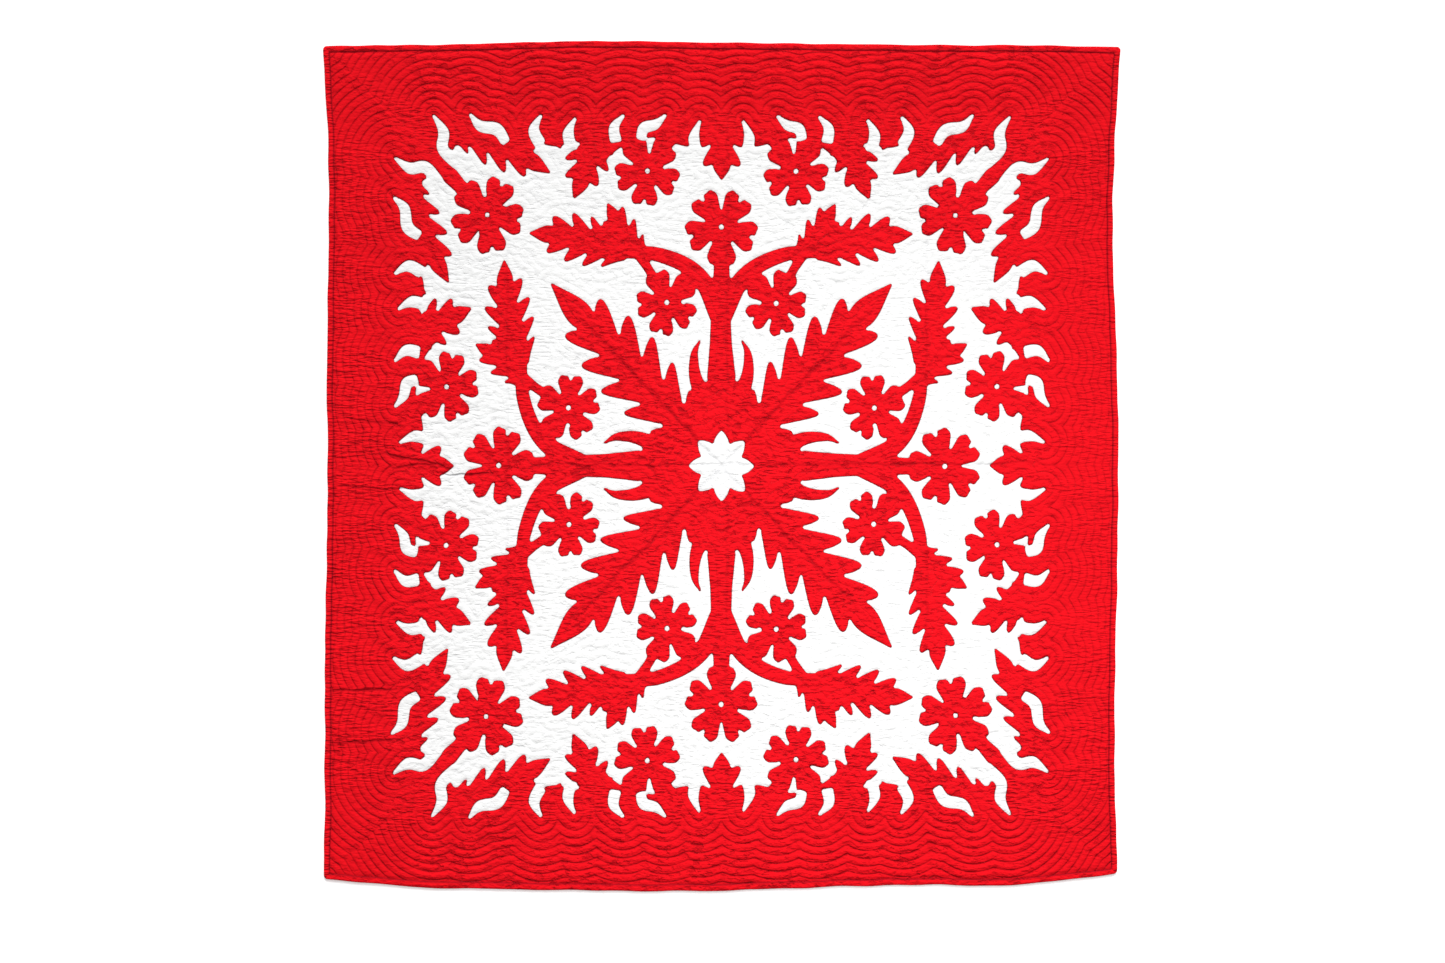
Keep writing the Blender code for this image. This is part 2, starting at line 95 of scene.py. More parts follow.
@dataclass(frozen=True)
class Outline:
    """The quilt's uneven outer edge, and the step from shares to metres."""

    side: float = 2.032
    width_over_length: float = 0.937
    corner_radius: float = 0.010
    smallest_radius: float = 0.004
    binding_width: float = 0.016
    left_mm: tuple[float, ...] = (6, 4, 4, 0, -3, -1, -5, -5, 8)
    right_mm: tuple[float, ...] = (3, -3, -3, 2, 5, 2, -8, -5, 11)
    top_mm: tuple[float, ...] = (-4, -1, 5, 8, 5, 1, -2, -2, -6)
    bottom_mm: tuple[float, ...] = (-21, 0, 5, 9, 8, -1, -6, -7, -34)
    ripple: float = 2.4 * MM

    @property
    def mean_half(self) -> float:
        """Half of the mean side, in metres."""
        return self.side / 2

    def share(self, metres: float) -> float:
        """A length in shares of the half side."""
        return metres / self.mean_half

    @staticmethod
    def bow(table: tuple[float, ...], share: np.ndarray) -> np.ndarray:
        """Values at even places from -1 to 1, read through a Catmull-Rom cubic.

        Args:
            table: the values, in millimetres.
            share: where to read them.

        Returns:
            The values there, in metres.
        """
        values = np.asarray(table, float) * MM
        padded = np.concatenate([[2 * values[0] - values[1]], values, [2 * values[-1] - values[-2]]])
        place = np.clip((share + 1) / 2, 0, 1) * (len(values) - 1)
        step = np.minimum(place.astype(int), len(values) - 2)
        t = place - step
        a, b, c, d = (padded[step + k] for k in range(4))
        cubic = 2 * b + (c - a) * t + (2 * a - 5 * b + 4 * c - d) * t**2 + (3 * b - a - 3 * c + d) * t**3
        return cubic / 2

    def bowed(self, u: np.ndarray, v: np.ndarray) -> tuple[np.ndarray, np.ndarray]:
        """Shares as metres: x = u times the half width, plus the edge's bow times |u|^3 and its ripple times |u|^9."""
        ratio = math.sqrt(self.width_over_length)
        across = np.where(u > 0, self.bow(self.right_mm, v), -self.bow(self.left_mm, v))
        along = np.where(v > 0, self.bow(self.top_mm, u), -self.bow(self.bottom_mm, u))
        wave_x, wave_y = (self.ripple * gradient_noise(u, v, (0.085, 0.085), seed) for seed in (61, 62))
        x = u * self.mean_half * ratio + across * np.abs(u) ** 3 + wave_x * np.abs(u) ** 9
        y = v * self.mean_half / ratio + along * np.abs(v) ** 3 + wave_y * np.abs(v) ** 9
        return x, y

    @staticmethod
    def run(half: float, radius: float, share: np.ndarray) -> tuple[np.ndarray, np.ndarray]:
        """Points along the top of a rounded square.

        Each half of the top is a straight run of half - radius and an arc of radius times pi/4.

        Args:
            half: half of the square's side, in shares.
            radius: its corners' radius, in shares.
            share: where along the top, from -1 at the left corner's middle to 1 at the right one's.

        Returns:
            The points' u and v.
        """
        straight = half - radius
        walked = share * (straight + radius * math.pi / 4)
        turned = np.maximum(np.abs(walked) - straight, 0) / max(radius, 1e-9)
        u = np.sign(walked) * np.where(turned > 0, straight + radius * np.sin(turned), np.abs(walked))
        return u, straight + radius * np.cos(turned)

    def ring(self, half: float, radius: float, stations: int) -> tuple[np.ndarray, np.ndarray]:
        """Evenly spaced points clockwise round a rounded square, with that many in each eighth."""
        u, v = self.run(half, radius, (np.arange(-stations, stations) + 0.5) / stations)
        return np.concatenate([u, v, -u, -v]), np.concatenate([v, -u, -v, u])

    def radius_at(self, inset: float) -> float:
        """The corners' radius on a line inset by a share, in shares."""
        return max(self.share(self.corner_radius) - inset, self.share(self.smallest_radius))

    def placed(self, u: np.ndarray, v: np.ndarray) -> tuple[np.ndarray, np.ndarray]:
        """Shares as metres, with the middle of the outline's box at the origin."""
        edge_x, edge_y = self.bowed(*self.ring(1.0, self.radius_at(0), 400))
        x, y = self.bowed(u, v)
        return x - (edge_x.min() + edge_x.max()) / 2, y - (edge_y.min() + edge_y.max()) / 2

    def inset(self, u: np.ndarray, v: np.ndarray) -> np.ndarray:
        """How far inside the rounded square each point is, in shares; below 0 it is outside."""
        radius = self.share(self.corner_radius)
        p, q = np.abs(u) - (1 - radius), np.abs(v) - (1 - radius)
        corner = np.hypot(np.maximum(p, 0), np.maximum(q, 0))
        return radius - corner - np.minimum(np.maximum(p, q), 0)


@dataclass(frozen=True)
class Design:
    """The cut pattern's rows, the same as the solids'."""

    field_half: float = 0.765
    field_waves: int = 9
    field_wave_depth: float = 0.010
    field_squareness: float = 12.0
    star_outer: float = 0.084
    star_inner: float = 0.053
    hub_radius: float = 0.160
    eyelet_radius: float = 0.0062
    medallion: tuple[object, ...] = (
        Leaf(4, (0.06, 0.06), (0.435, 0.435), 0.094, 5, 0.0),
        Leaf(8, (0.24, 0.500), (0.49, 0.550), 0.062, 4, 0.05),
        Leaf(8, (0.19, 0.490), (0.290, 0.625), 0.044, 3, -0.06),
        Flower(4, (0.0, 0.565), 0.094, -90.0),
        Flower(8, (0.138, 0.386), 0.081, 68.0),
        Ribbon(4, ((0.0, 0.05), (0.0, 0.29), (0.0, 0.51)), (0.052, 0.028, 0.018)),
        Ribbon(8, ((0.0, 0.35), (0.06, 0.452), (0.16, 0.500), (0.27, 0.505)), (0.026, 0.020, 0.017, 0.012)),
        Ribbon(8, ((0.208, 0.505), (0.186, 0.470), (0.158, 0.425)), (0.016, 0.011, 0.012)),
        Ribbon(8, ((0.020, 0.13), (0.062, 0.200), (0.068, 0.262), (0.052, 0.300)), (0.030, 0.017, 0.010, 0.001)),
    )
    border: tuple[object, ...] = (
        Leaf(4, (0.0, 0.850), (0.0, 0.675), 0.062, 3, 0.0),
        Leaf(8, (0.322, 0.840), (0.376, 0.630), 0.060, 4, -0.06),
        Leaf(8, (0.690, 0.800), (0.430, 0.690), 0.060, 4, -0.05),
        Flower(8, (0.188, 0.697), 0.086, 60.0),
        Flower(4, (0.594, 0.594), 0.096, 45.0),
        Ribbon(8, ((0.100, 0.845), (0.12, 0.785), (0.160, 0.740)), (0.030, 0.018, 0.013)),
        Ribbon(4, ((0.86, 0.86), (0.74, 0.74), (0.64, 0.64)), (0.078, 0.028, 0.014)),
        Ribbon(8, ((0.232, 0.82), (0.249, 0.780), (0.285, 0.746), (0.295, 0.722)), (0.028, 0.016, 0.011, 0.001)),
        Ribbon(8, ((0.418, 0.82), (0.428, 0.780), (0.405, 0.748)), (0.028, 0.016, 0.001)),
        Ribbon(8, ((0.502, 0.83), (0.512, 0.785), (0.486, 0.756)), (0.024, 0.015, 0.001)),
        Ribbon(8, ((0.790, 0.690), (0.745, 0.700), (0.700, 0.680)), (0.028, 0.018, 0.001)),
    )
    slits: tuple[object, ...] = (
        Ribbon(8, ((0.058, 0.735), (0.070, 0.775), (0.052, 0.822)), (0.012, 0.014, 0.001)),
        Ribbon(8, ((0.205, 0.77), (0.196, 0.797), (0.166, 0.806), (0.135, 0.832)), (0.012, 0.014, 0.012, 0.001)),
        Ribbon(8, ((0.268, 0.765), (0.272, 0.800), (0.242, 0.832)), (0.015, 0.013, 0.001)),
        Ribbon(8, ((0.378, 0.745), (0.388, 0.785), (0.368, 0.826)), (0.014, 0.014, 0.001)),
        Ribbon(8, ((0.458, 0.760), (0.474, 0.795), (0.452, 0.835)), (0.015, 0.014, 0.001)),
        Ribbon(8, ((0.545, 0.765), (0.568, 0.797), (0.612, 0.806), (0.640, 0.838)), (0.012, 0.015, 0.013, 0.001)),
        Ribbon(8, ((0.668, 0.715), (0.708, 0.752), (0.706, 0.792), (0.735, 0.836)), (0.015, 0.014, 0.014, 0.001)),
    )

    @staticmethod
    def smooth_line(points: np.ndarray, steps: int = 10) -> np.ndarray:
        """A Catmull-Rom cubic through the points, with that many steps between each two."""
        p = np.asarray(points, float)
        q = np.vstack([2 * p[0] - p[1], p, 2 * p[-1] - p[-2]])
        t = (np.arange(steps) / steps)[:, None, None]
        a, b, c, d = q[:-3], q[1:-2], q[2:-1], q[3:]
        cubic = 2 * b + (c - a) * t + (2 * a - 5 * b + 4 * c - d) * t**2 + (3 * b - a - 3 * c + d) * t**3
        return np.vstack([cubic.transpose(1, 0, 2).reshape(-1, 2) / 2, p[-1]])

    def ribbon_outline(self, ribbon: Ribbon) -> np.ndarray:
        """The line moved half a width to each side, the second side walked back."""
        line = self.smooth_line(np.array(ribbon.line))
        knots = np.linspace(0, 1, len(ribbon.half_widths))
        half = np.interp(np.linspace(0, 1, len(line)), knots, ribbon.half_widths)[:, None]
        along = np.gradient(line, axis=0)
        along /= np.linalg.norm(along, axis=1)[:, None]
        across = np.stack([-along[:, 1], along[:, 0]], axis=-1)
        return np.vstack([line + across * half, (line - across * half)[::-1]])

    def leaf_outline(self, leaf: Leaf, notch: float = 0.38, crown: float = 0.74, lean: float = 0.60) -> np.ndarray:
        """A leaf's edge: each side lobe is a swell sin(pi p^1.45)^0.85 that leans to the tip, under one envelope.

        Args:
            leaf: the row.
            notch: the width left between two lobes, as a share of the envelope.
            crown: where along the rib the end lobe starts.
            lean: how far a lobe leans, in lobe lengths.

        Returns:
            The closed outline's points.
        """
        phase = np.arange(leaf.lobes * 9) / 9
        swell = np.sin(np.pi * (phase % 1.0) ** 1.45) ** 0.85
        place = phase / leaf.lobes
        envelope = np.sin(np.pi * (0.17 + 0.66 * place)) ** 0.8
        end = np.linspace(0, 1, 12)
        end_across = notch * envelope[-1] * (1 - end) ** 0.7 * (1 + 0.9 * np.sin(np.pi * end**0.8))
        along = np.concatenate([crown * (place + lean * swell / leaf.lobes), crown + (1 - crown) * end])
        across = np.concatenate([envelope * (notch + (1 - notch) * swell), end_across]) * leaf.half_width
        base, rib = np.array(leaf.base), np.array(leaf.tip) - np.array(leaf.base)
        side = np.array([-rib[1], rib[0]])
        middle = base + np.outer(along, rib) + np.outer(leaf.bend * 4 * along * (1 - along), side)
        reach = np.outer(across / np.linalg.norm(rib), side)
        return np.vstack([middle + reach, (middle - reach)[::-1][1:]])

    def flower_outline(self, flower: Flower) -> np.ndarray:
        """Petals as a radius over the angle: rounded, ruffled, deeply parted and each split a little."""
        angle = np.linspace(0, 2 * np.pi, 150, endpoint=False)
        petal = (angle * 5 / (2 * np.pi) + 0.5) % 1 - 0.5
        parted = np.exp(-(((0.5 - np.abs(petal)) / 0.085) ** 4))
        split = np.exp(-((petal / 0.050) ** 2))
        ruffled = 0.87 + 0.11 * np.cos(np.pi * petal) + 0.035 * np.cos(8 * np.pi * petal)
        radius = flower.radius * (ruffled - 0.50 * parted - 0.30 * split)
        turned = angle + math.radians(flower.turn)
        return np.array(flower.centre) + radius[:, None] * np.stack([np.cos(turned), np.sin(turned)], axis=-1)

    def outline_of(self, row: object) -> np.ndarray:
        """The outline of any row."""
        if isinstance(row, Leaf):
            return self.leaf_outline(row)
        return self.flower_outline(row) if isinstance(row, Flower) else self.ribbon_outline(row)

    @staticmethod
    def copies(outline: np.ndarray, count: int) -> list[np.ndarray]:
        """The outline in all folds that touch the first quarter: quarter turns, and their mirror images."""
        mirrored = [outline] if count == 4 else [outline, outline[::-1] * [-1, 1]]
        turned = [np.stack(pair, axis=-1) for x, y in (m.T for m in mirrored) for pair in ((x, y), (y, -x), (-x, -y), (-y, x))]
        return [t for t in turned if (t.max(axis=0) > -0.01).all()]

    def repeated(self, rows: tuple[object, ...]) -> list[np.ndarray]:
        """Every outline of the rows that touches the first quarter."""
        return [copy for row in rows for copy in self.copies(self.outline_of(row), row.copies)]

    def field(self, u: np.ndarray, v: np.ndarray) -> np.ndarray:
        """Radius less the white field's own: a rounded square, |c|^n + |s|^n = 1, whose edge waves."""
        reach = np.hypot(u, v) + 1e-9
        c, s = (np.abs(u) + 1e-9) / reach, (np.abs(v) + 1e-9) / reach
        square = (c**self.field_squareness + s**self.field_squareness) ** (-1 / self.field_squareness)
        wave = np.cos(np.pi * self.field_waves * np.minimum(c, s) * square)
        return reach - square * (self.field_half + self.field_wave_depth * wave)

    def star(self, u: np.ndarray, v: np.ndarray, points: int = 8) -> np.ndarray:
        """Radius less the star's own, which is longest at each of its points."""
        tip = np.abs((np.arctan2(v, u) * points / (2 * np.pi)) % 1 - 0.5) * 2
        return np.hypot(u, v) - (self.star_inner + (self.star_outer - self.star_inner) * tip**0.9)


class Pattern:
    """Distances to the cut pattern on one quarter, looked up for any place on the quilt."""

    def __init__(self, design: Design, outline: Outline, cells: int = 640) -> None:
        """Draws the pattern.

        Args:
            design: the pattern's rows.
            outline: the quilt's outline, for its scale.
            cells: grid cells along the quarter.
        """
        self.outline = outline
        self.cells = cells
        side = np.arange(cells + 1) / cells
        self.u, self.v = np.meshgrid(side, side, indexing="ij")
        cuts = np.minimum(self.union(design.repeated(design.slits)), design.star(self.u, self.v))
        hub = np.hypot(self.u, self.v) - design.hub_radius
        medallion = np.minimum(self.union(design.repeated(design.medallion)), hub)
        border = np.minimum(self.union(design.repeated(design.border)), -design.field(self.u, self.v))
        self.medallion = self.pierced(self.sewn(np.maximum(medallion, -cuts)), design.medallion, design)
        self.border = self.pierced(self.sewn(np.maximum(border, -cuts)), design.border, design)
        self.red = self.true_distance(np.minimum(self.medallion, self.border))
        slope = np.gradient(np.abs(self.red), 1 / cells)
        steep = slope[0] ** 2 + slope[1] ** 2 + 1e-9
        self.lean = self.blurred(slope[0] ** 2 / steep, 6)

    def sewn(self, signed: np.ndarray, notch: float = 2.6 * MM, spur: float = 1.8 * MM) -> np.ndarray:
        """A shape with its edge turned under, which rounds its notches and tips and loses its specks.

        Growing a shape and shrinking it again rounds its notches, and the other way about rounds its tips.

        Args:
            signed: the shape's signed distance, negative inside.
            notch: the notches' radius, in metres.
            spur: the tips' radius, in metres.

        Returns:
            The signed distance of what is sewn down.
        """
        signed = self.true_distance(signed)
        for reach in (self.outline.share(notch), -self.outline.share(spur)):
            signed = self.true_distance(signed - reach) + reach
            signed = self.without_specks(self.true_distance(signed))
        return self.true_distance(self.blurred(signed, 4))

    def without_specks(self, signed: np.ndarray, deep: float = 8.0 * MM, passes: int = 70) -> np.ndarray:
        """A shape without its openings that are nowhere as deep as that, and its patches, at half that.

        What is deep enough is grown again a cell at a time inside its own side of the edge, and whatever that
        doesn't reach changes sides.
        """
        for sign, least in ((1, deep), (-1, deep / 2)):
            side = sign * signed > 0
            kept = sign * signed > self.outline.share(least)
            for _ in range(passes):
                wide = np.pad(kept, 1)
                kept = side & (kept | wide[:-2, 1:-1] | wide[2:, 1:-1] | wide[1:-1, :-2] | wide[1:-1, 2:])
            signed = np.where(side & ~kept, -signed - sign * 1e-4, signed)
        return signed

    def pierced(self, signed: np.ndarray, rows: tuple[object, ...], design: Design) -> np.ndarray:
        """A shape with a round eyelet cut at the middle of each of its flowers."""
        for row in rows:
            if isinstance(row, Flower):
                for x, y in {row.centre, row.centre[::-1]}:
                    signed = np.maximum(signed, design.eyelet_radius - np.hypot(self.u - x, self.v - y))
        return signed

    def union(self, outlines: list[np.ndarray], margin: float = 0.02) -> np.ndarray:
        """The smallest of the outlines' signed distances, each worked out only near its outline."""
        made = np.full_like(self.u, margin)
        for outline in outlines:
            low = np.clip(((outline.min(axis=0) - margin) * self.cells).astype(int), 0, self.cells)
            high = np.clip(((outline.max(axis=0) + margin) * self.cells).astype(int) + 2, 0, self.cells + 1)
            block = np.s_[low[0] : high[0], low[1] : high[1]]
            made[block] = np.minimum(made[block], self.signed_distance(self.u[block], self.v[block], outline))
        return made

    @staticmethod
    def signed_distance(u: np.ndarray, v: np.ndarray, outline: np.ndarray) -> np.ndarray:
        """Distance to the nearest side of an outline, negative where its winding number isn't 0."""
        nearest = np.full(u.shape, np.inf)
        winding = np.zeros(u.shape, int)
        for (x0, y0), (x1, y1) in zip(outline, np.roll(outline, -1, axis=0)):
            dx, dy = x1 - x0, y1 - y0
            px, py = u - x0, v - y0
            t = np.clip((px * dx + py * dy) / (dx * dx + dy * dy + 1e-18), 0, 1)
            nearest = np.minimum(nearest, (px - t * dx) ** 2 + (py - t * dy) ** 2)
            left = dx * py - dy * px > 0
            winding += ((y0 <= v) & (y1 > v) & left).astype(int) - ((y0 > v) & (y1 <= v) & ~left)
        return np.where(winding != 0, -1.0, 1.0) * np.sqrt(nearest)

    def true_distance(self, signed: np.ndarray) -> np.ndarray:
        """The exact distance to a field's zero line, with the field's sign.

        Points beside the line know their nearest point on it, p - s grad s / |grad s|^2, and each pass offers
        every point the nearest points of its eight neighbours, at half the step of the pass before.
        """
        slope = np.gradient(signed, 1 / self.cells)
        steep = slope[0] ** 2 + slope[1] ** 2 + 1e-9
        wide = np.pad(signed < 0, 1, mode="edge")
        around = [wide[:-2, 1:-1], wide[2:, 1:-1], wide[1:-1, :-2], wide[1:-1, 2:]]
        beside = np.any([near != wide[1:-1, 1:-1] for near in around], axis=0)
        near_u = np.where(beside, self.u - signed * slope[0] / steep, 9.0)
        near_v = np.where(beside, self.v - signed * slope[1] / steep, 9.0)
        best = np.hypot(self.u - near_u, self.v - near_v)
        step = 256
        while step:
            for i, j in ((-1, -1), (-1, 0), (-1, 1), (0, -1), (0, 1), (1, -1), (1, 0), (1, 1)):
                here, there = self.shifted(i * step, j * step)
                offer = np.hypot(self.u[here] - near_u[there], self.v[here] - near_v[there])
                better = offer < best[here]
                near_u[here] = np.where(better, near_u[there], near_u[here])
                near_v[here] = np.where(better, near_v[there], near_v[here])
                best[here] = np.where(better, offer, best[here])
            step //= 2
        return np.sign(signed) * best

    @staticmethod
    def shifted(i: int, j: int) -> tuple[tuple[slice, slice], tuple[slice, slice]]:
        """Slices of the places that have a neighbour i, j cells away, and of those neighbours."""
        here = tuple(slice(max(-k, 0), -k if k > 0 else None) for k in (i, j))
        there = tuple(slice(max(k, 0), k if k < 0 else None) for k in (i, j))
        return here, there

    @staticmethod
    def blurred(values: np.ndarray, passes: int) -> np.ndarray:
        """Values averaged with their neighbours, with weights 1, 2, 1 each way, that many times."""
        for _ in range(passes):
            padded = np.pad(values, 1, mode="edge")
            rows = (padded[:-2] + 2 * padded[1:-1] + padded[2:]) / 4
            values = (rows[:, :-2] + 2 * rows[:, 1:-1] + rows[:, 2:]) / 4
        return values

    def look_up(self, grid: np.ndarray, u: np.ndarray, v: np.ndarray) -> np.ndarray:
        """A quarter's values at any shares, blended between the four cells round each."""
        a, b = np.clip(np.abs(u), 0, 1) * self.cells, np.clip(np.abs(v), 0, 1) * self.cells
        i, j = np.minimum(a.astype(int), self.cells - 1), np.minimum(b.astype(int), self.cells - 1)
        s, t = a - i, b - j
        low = grid[i, j] * (1 - t) + grid[i, j + 1] * t
        high = grid[i + 1, j] * (1 - t) + grid[i + 1, j + 1] * t
        return low * (1 - s) + high * s

    def hand_drawn(self, u: np.ndarray, v: np.ndarray) -> tuple[np.ndarray, np.ndarray]:
        """Shares moved by a millimetre or two, so that no two folds are sewn down quite alike."""
        reach = 0.0022
        return (
            u + reach * gradient_noise(u, v, (0.21, 0.21), 3),
            v + reach * gradient_noise(u, v, (0.21, 0.21), 4),
        )

    def at(self, grid: np.ndarray, u: np.ndarray, v: np.ndarray) -> np.ndarray:
        """A quarter's values at shares as they were sewn."""
        return self.look_up(grid, *self.hand_drawn(u, v))


def gradient_noise(x: np.ndarray, y: np.ndarray, cell: tuple[float, float], seed: int) -> np.ndarray:
    """Smooth noise from about -1 to 1: random slopes on a lattice, blended by 6t^5 - 15t^4 + 10t^3.

    Args:
        x: places along the first axis.
        y: places along the second axis.
        cell: the lattice's cell along each axis.
        seed: which noise.

    Returns:
        The noise at each place.
    """
    angle = np.random.default_rng(seed).uniform(0, 2 * np.pi, (256, 256))
    p, q = x / cell[0], y / cell[1]
    i, j = np.floor(p).astype(int), np.floor(q).astype(int)
    s, t = p - i, q - j

    def corner(di: int, dj: int) -> np.ndarray:
        """The slope at one corner of the cell, times the way from it."""
        turned = angle[(i + di) % 256, (j + dj) % 256]
        return np.cos(turned) * (s - di) + np.sin(turned) * (t - dj)

    fade_s, fade_t = (w**3 * (w * (w * 6 - 15) + 10) for w in (s, t))
    low = corner(0, 0) * (1 - fade_s) + corner(1, 0) * fade_s
    high = corner(0, 1) * (1 - fade_s) + corner(1, 1) * fade_s
    return 1.5 * (low * (1 - fade_t) + high * fade_t)


def eased(value: np.ndarray) -> np.ndarray:
    """3t^2 - 2t^3 of a value held from 0 to 1."""
    t = np.clip(value, 0, 1)
    return t * t * (3 - 2 * t)


@dataclass(frozen=True)
class Crease:
    """A pinch in the cloth from one end to the other, in metres, and how deep it is in millimetres."""

    start: tuple[float, float]
    end: tuple[float, float]
    half_width: float
    depth_mm: float


CREASES = (
    Crease((-0.705, -0.018), (-0.565, -0.022), 2.6 * MM, 3.4),
    Crease((-0.860, 0.032), (-0.660, -0.004), 3.2 * MM, 2.6),
    Crease((-0.835, -0.004), (-0.690, 0.006), 3.0 * MM, 2.2),
    Crease((-0.970, -0.049), (-0.775, -0.056), 3.0 * MM, 2.0),
    Crease((-0.962, 0.122), (-0.775, 0.097), 3.0 * MM, 1.6),
    Crease((-0.988, -0.560), (-0.800, -0.556), 3.4 * MM, 2.4),
    Crease((-0.990, -0.687), (-0.790, -0.682), 3.4 * MM, 2.2),
    Crease((-0.538, -1.040), (-0.530, 1.030), 4.0 * MM, 0.6),
    Crease((0.011, -1.050), (0.014, 1.040), 4.0 * MM, 0.6),
    Crease((0.512, -1.040), (0.508, 1.020), 4.0 * MM, 0.6),
    Crease((-0.600, 0.002), (0.975, 0.006), 4.0 * MM, 1.3),
    Crease((-0.430, -0.452), (0.430, 0.452), 5.0 * MM, 1.3),
    Crease((-0.430, 0.452), (0.430, -0.452), 5.0 * MM, 1.3),
)


@dataclass(frozen=True)
class Quilting:
    """The relief of the quilted face: lines at an even pitch from the pattern's edge, and wrinkles."""

    pitch: float = 19 * MM
    valley: float = 5.0 * MM
    puff: float = 3.2 * MM
    gather: float = 1.3 * MM
    swell: float = 1.2 * MM
    cloth: float = 1.0 * MM

    def height(self, x: np.ndarray, y: np.ndarray, marks: dict[str, np.ndarray]) -> np.ndarray:
        """The ground's height, which is the valleys' with the filling's loft and the wrinkles on it.

        The loft is puff |sin(pi echo)|^0.8, a gather is |noise|^0.7, and both are fuller in some places.

        Args:
            x: metres across.
            y: metres up.
            marks: echo, slant and firm at each point.

        Returns:
            The height, in metres.
        """
        between = np.abs(np.sin(np.pi * marks["echo"])) ** 0.8
        loft = self.puff * marks["firm"] * between * (1 + 0.30 * gradient_noise(x, y, (0.06, 0.06), 11))
        warped = y + 9 * MM * gradient_noise(x, y, (0.085, 0.055), 21)
        gather = self.gather * np.abs(gradient_noise(x, warped, (55 * MM, 19 * MM), 12)) ** 0.7
        gather = gather * (1 - 0.6 * marks["slant"])
        swell = self.swell * (0.5 + 0.5 * gradient_noise(x, y, (0.23, 0.17), 14))
        swell = swell + 0.5 * MM * gradient_noise(x, y, (0.07, 0.045), 15)
        return self.valley + loft + gather + swell


@dataclass
class Shape:
    """A surface over shares: each point's u and v, and its faces."""

    u: np.ndarray
    v: np.ndarray
    quads: np.ndarray
    triangles: np.ndarray
    rim: np.ndarray
    number: np.ndarray

    @classmethod
    def trimmed(cls, u: np.ndarray, v: np.ndarray, outside: np.ndarray, closed: bool = False) -> "Shape":
        """The part of a grid where a field is below 0, its cells cut where the field passes 0.

        Cells wholly inside stay quads. On a cut cell's sides the field is taken as straight, which gives the
        cut's points, and the cell's inside corners and cut points are joined in a fan.

        Args:
            u: the grid's shares across, with its points running anticlockwise as the indices grow.
            v: the grid's shares up.
            outside: the field on the grid.
            closed: whether the first index runs round and back to its start.

        Returns:
            The surface. rim holds the cut's segments with the inside on their left, and number is the place in
            u and v of each grid point that is inside.
        """
        rows, columns = u.shape
        inside = outside < 0
        following = np.roll(np.arange(rows), -1) if closed else np.arange(1, rows)
        here = np.arange(rows) if closed else np.arange(rows - 1)
        number = np.cumsum(inside.ravel()).reshape(rows, columns) - 1
        count = int(inside.sum())

        def cut(a: tuple, b: tuple) -> tuple[np.ndarray, np.ndarray, np.ndarray, np.ndarray]:
            """Where the field passes 0 between grid points a and b: a mask, the points' numbers, u and v."""
            passes = inside[a] != inside[b]
            share = np.where(passes, outside[a] / np.where(passes, outside[a] - outside[b], 1), 0)
            share = np.clip(share, 0.03, 0.97)
            return passes, (u[a] + share * (u[b] - u[a]))[passes], (v[a] + share * (v[b] - v[a]))[passes]

        all_columns, all_rows = slice(None), slice(None)
        first, first_u, first_v = cut((here, all_columns), (following, all_columns))
        second, second_u, second_v = cut((all_rows, slice(0, -1)), (all_rows, slice(1, None)))
        first_number = np.cumsum(first.ravel()).reshape(first.shape) - 1 + count
        second_number = np.cumsum(second.ravel()).reshape(second.shape) - 1 + count + len(first_u)
        corners = np.stack(
            [number[here, :-1], number[following, :-1], number[following, 1:], number[here, 1:]], axis=-1
        ).reshape(-1, 4)
        sides = np.stack(
            [first_number[:, :-1], second_number[following], first_number[:, 1:], second_number[here]], axis=-1
        ).reshape(-1, 4)
        code = (
            inside[here, :-1] + 2 * inside[following, :-1] + 4 * inside[following, 1:] + 8 * inside[here, 1:]
        ).ravel()
        triangles, rim = [], []
        for case in range(1, 15):
            cells = np.flatnonzero(code == case)
            for ring in cls.pieces_of(case):
                names = np.stack([(corners if k < 4 else sides)[cells, k % 4] for k in ring], axis=-1)
                triangles += [names[:, [0, k, k + 1]] for k in range(1, len(ring) - 1)]
                rim += [
                    names[:, [k, (k + 1) % len(ring)]]
                    for k in range(len(ring))
                    if ring[k] >= 4 and ring[(k + 1) % len(ring)] >= 4
                ]
        return cls(
            np.concatenate([u[inside], first_u, second_u]),
            np.concatenate([v[inside], first_v, second_v]),
            corners[code == 15],
            np.vstack(triangles) if triangles else np.zeros((0, 3), int),
            np.vstack(rim) if rim else np.zeros((0, 2), int),
            number,
        )

    @staticmethod
    def pieces_of(case: int) -> list[list[int]]:
        """A cut cell's polygons: corners are 0 to 3, the sides after them 4 to 7. Opposite corners stay apart."""
        walk = []
        for k in range(4):
            here, after = case >> k & 1, case >> (k + 1) % 4 & 1
            walk += [k] if here else []
            walk += [4 + k] if here != after else []
        if case in (5, 10):
            first = [k for k in range(4) if case >> k & 1]
            return [[k, 4 + k, 4 + (k + 3) % 4] for k in first]
        return [walk]


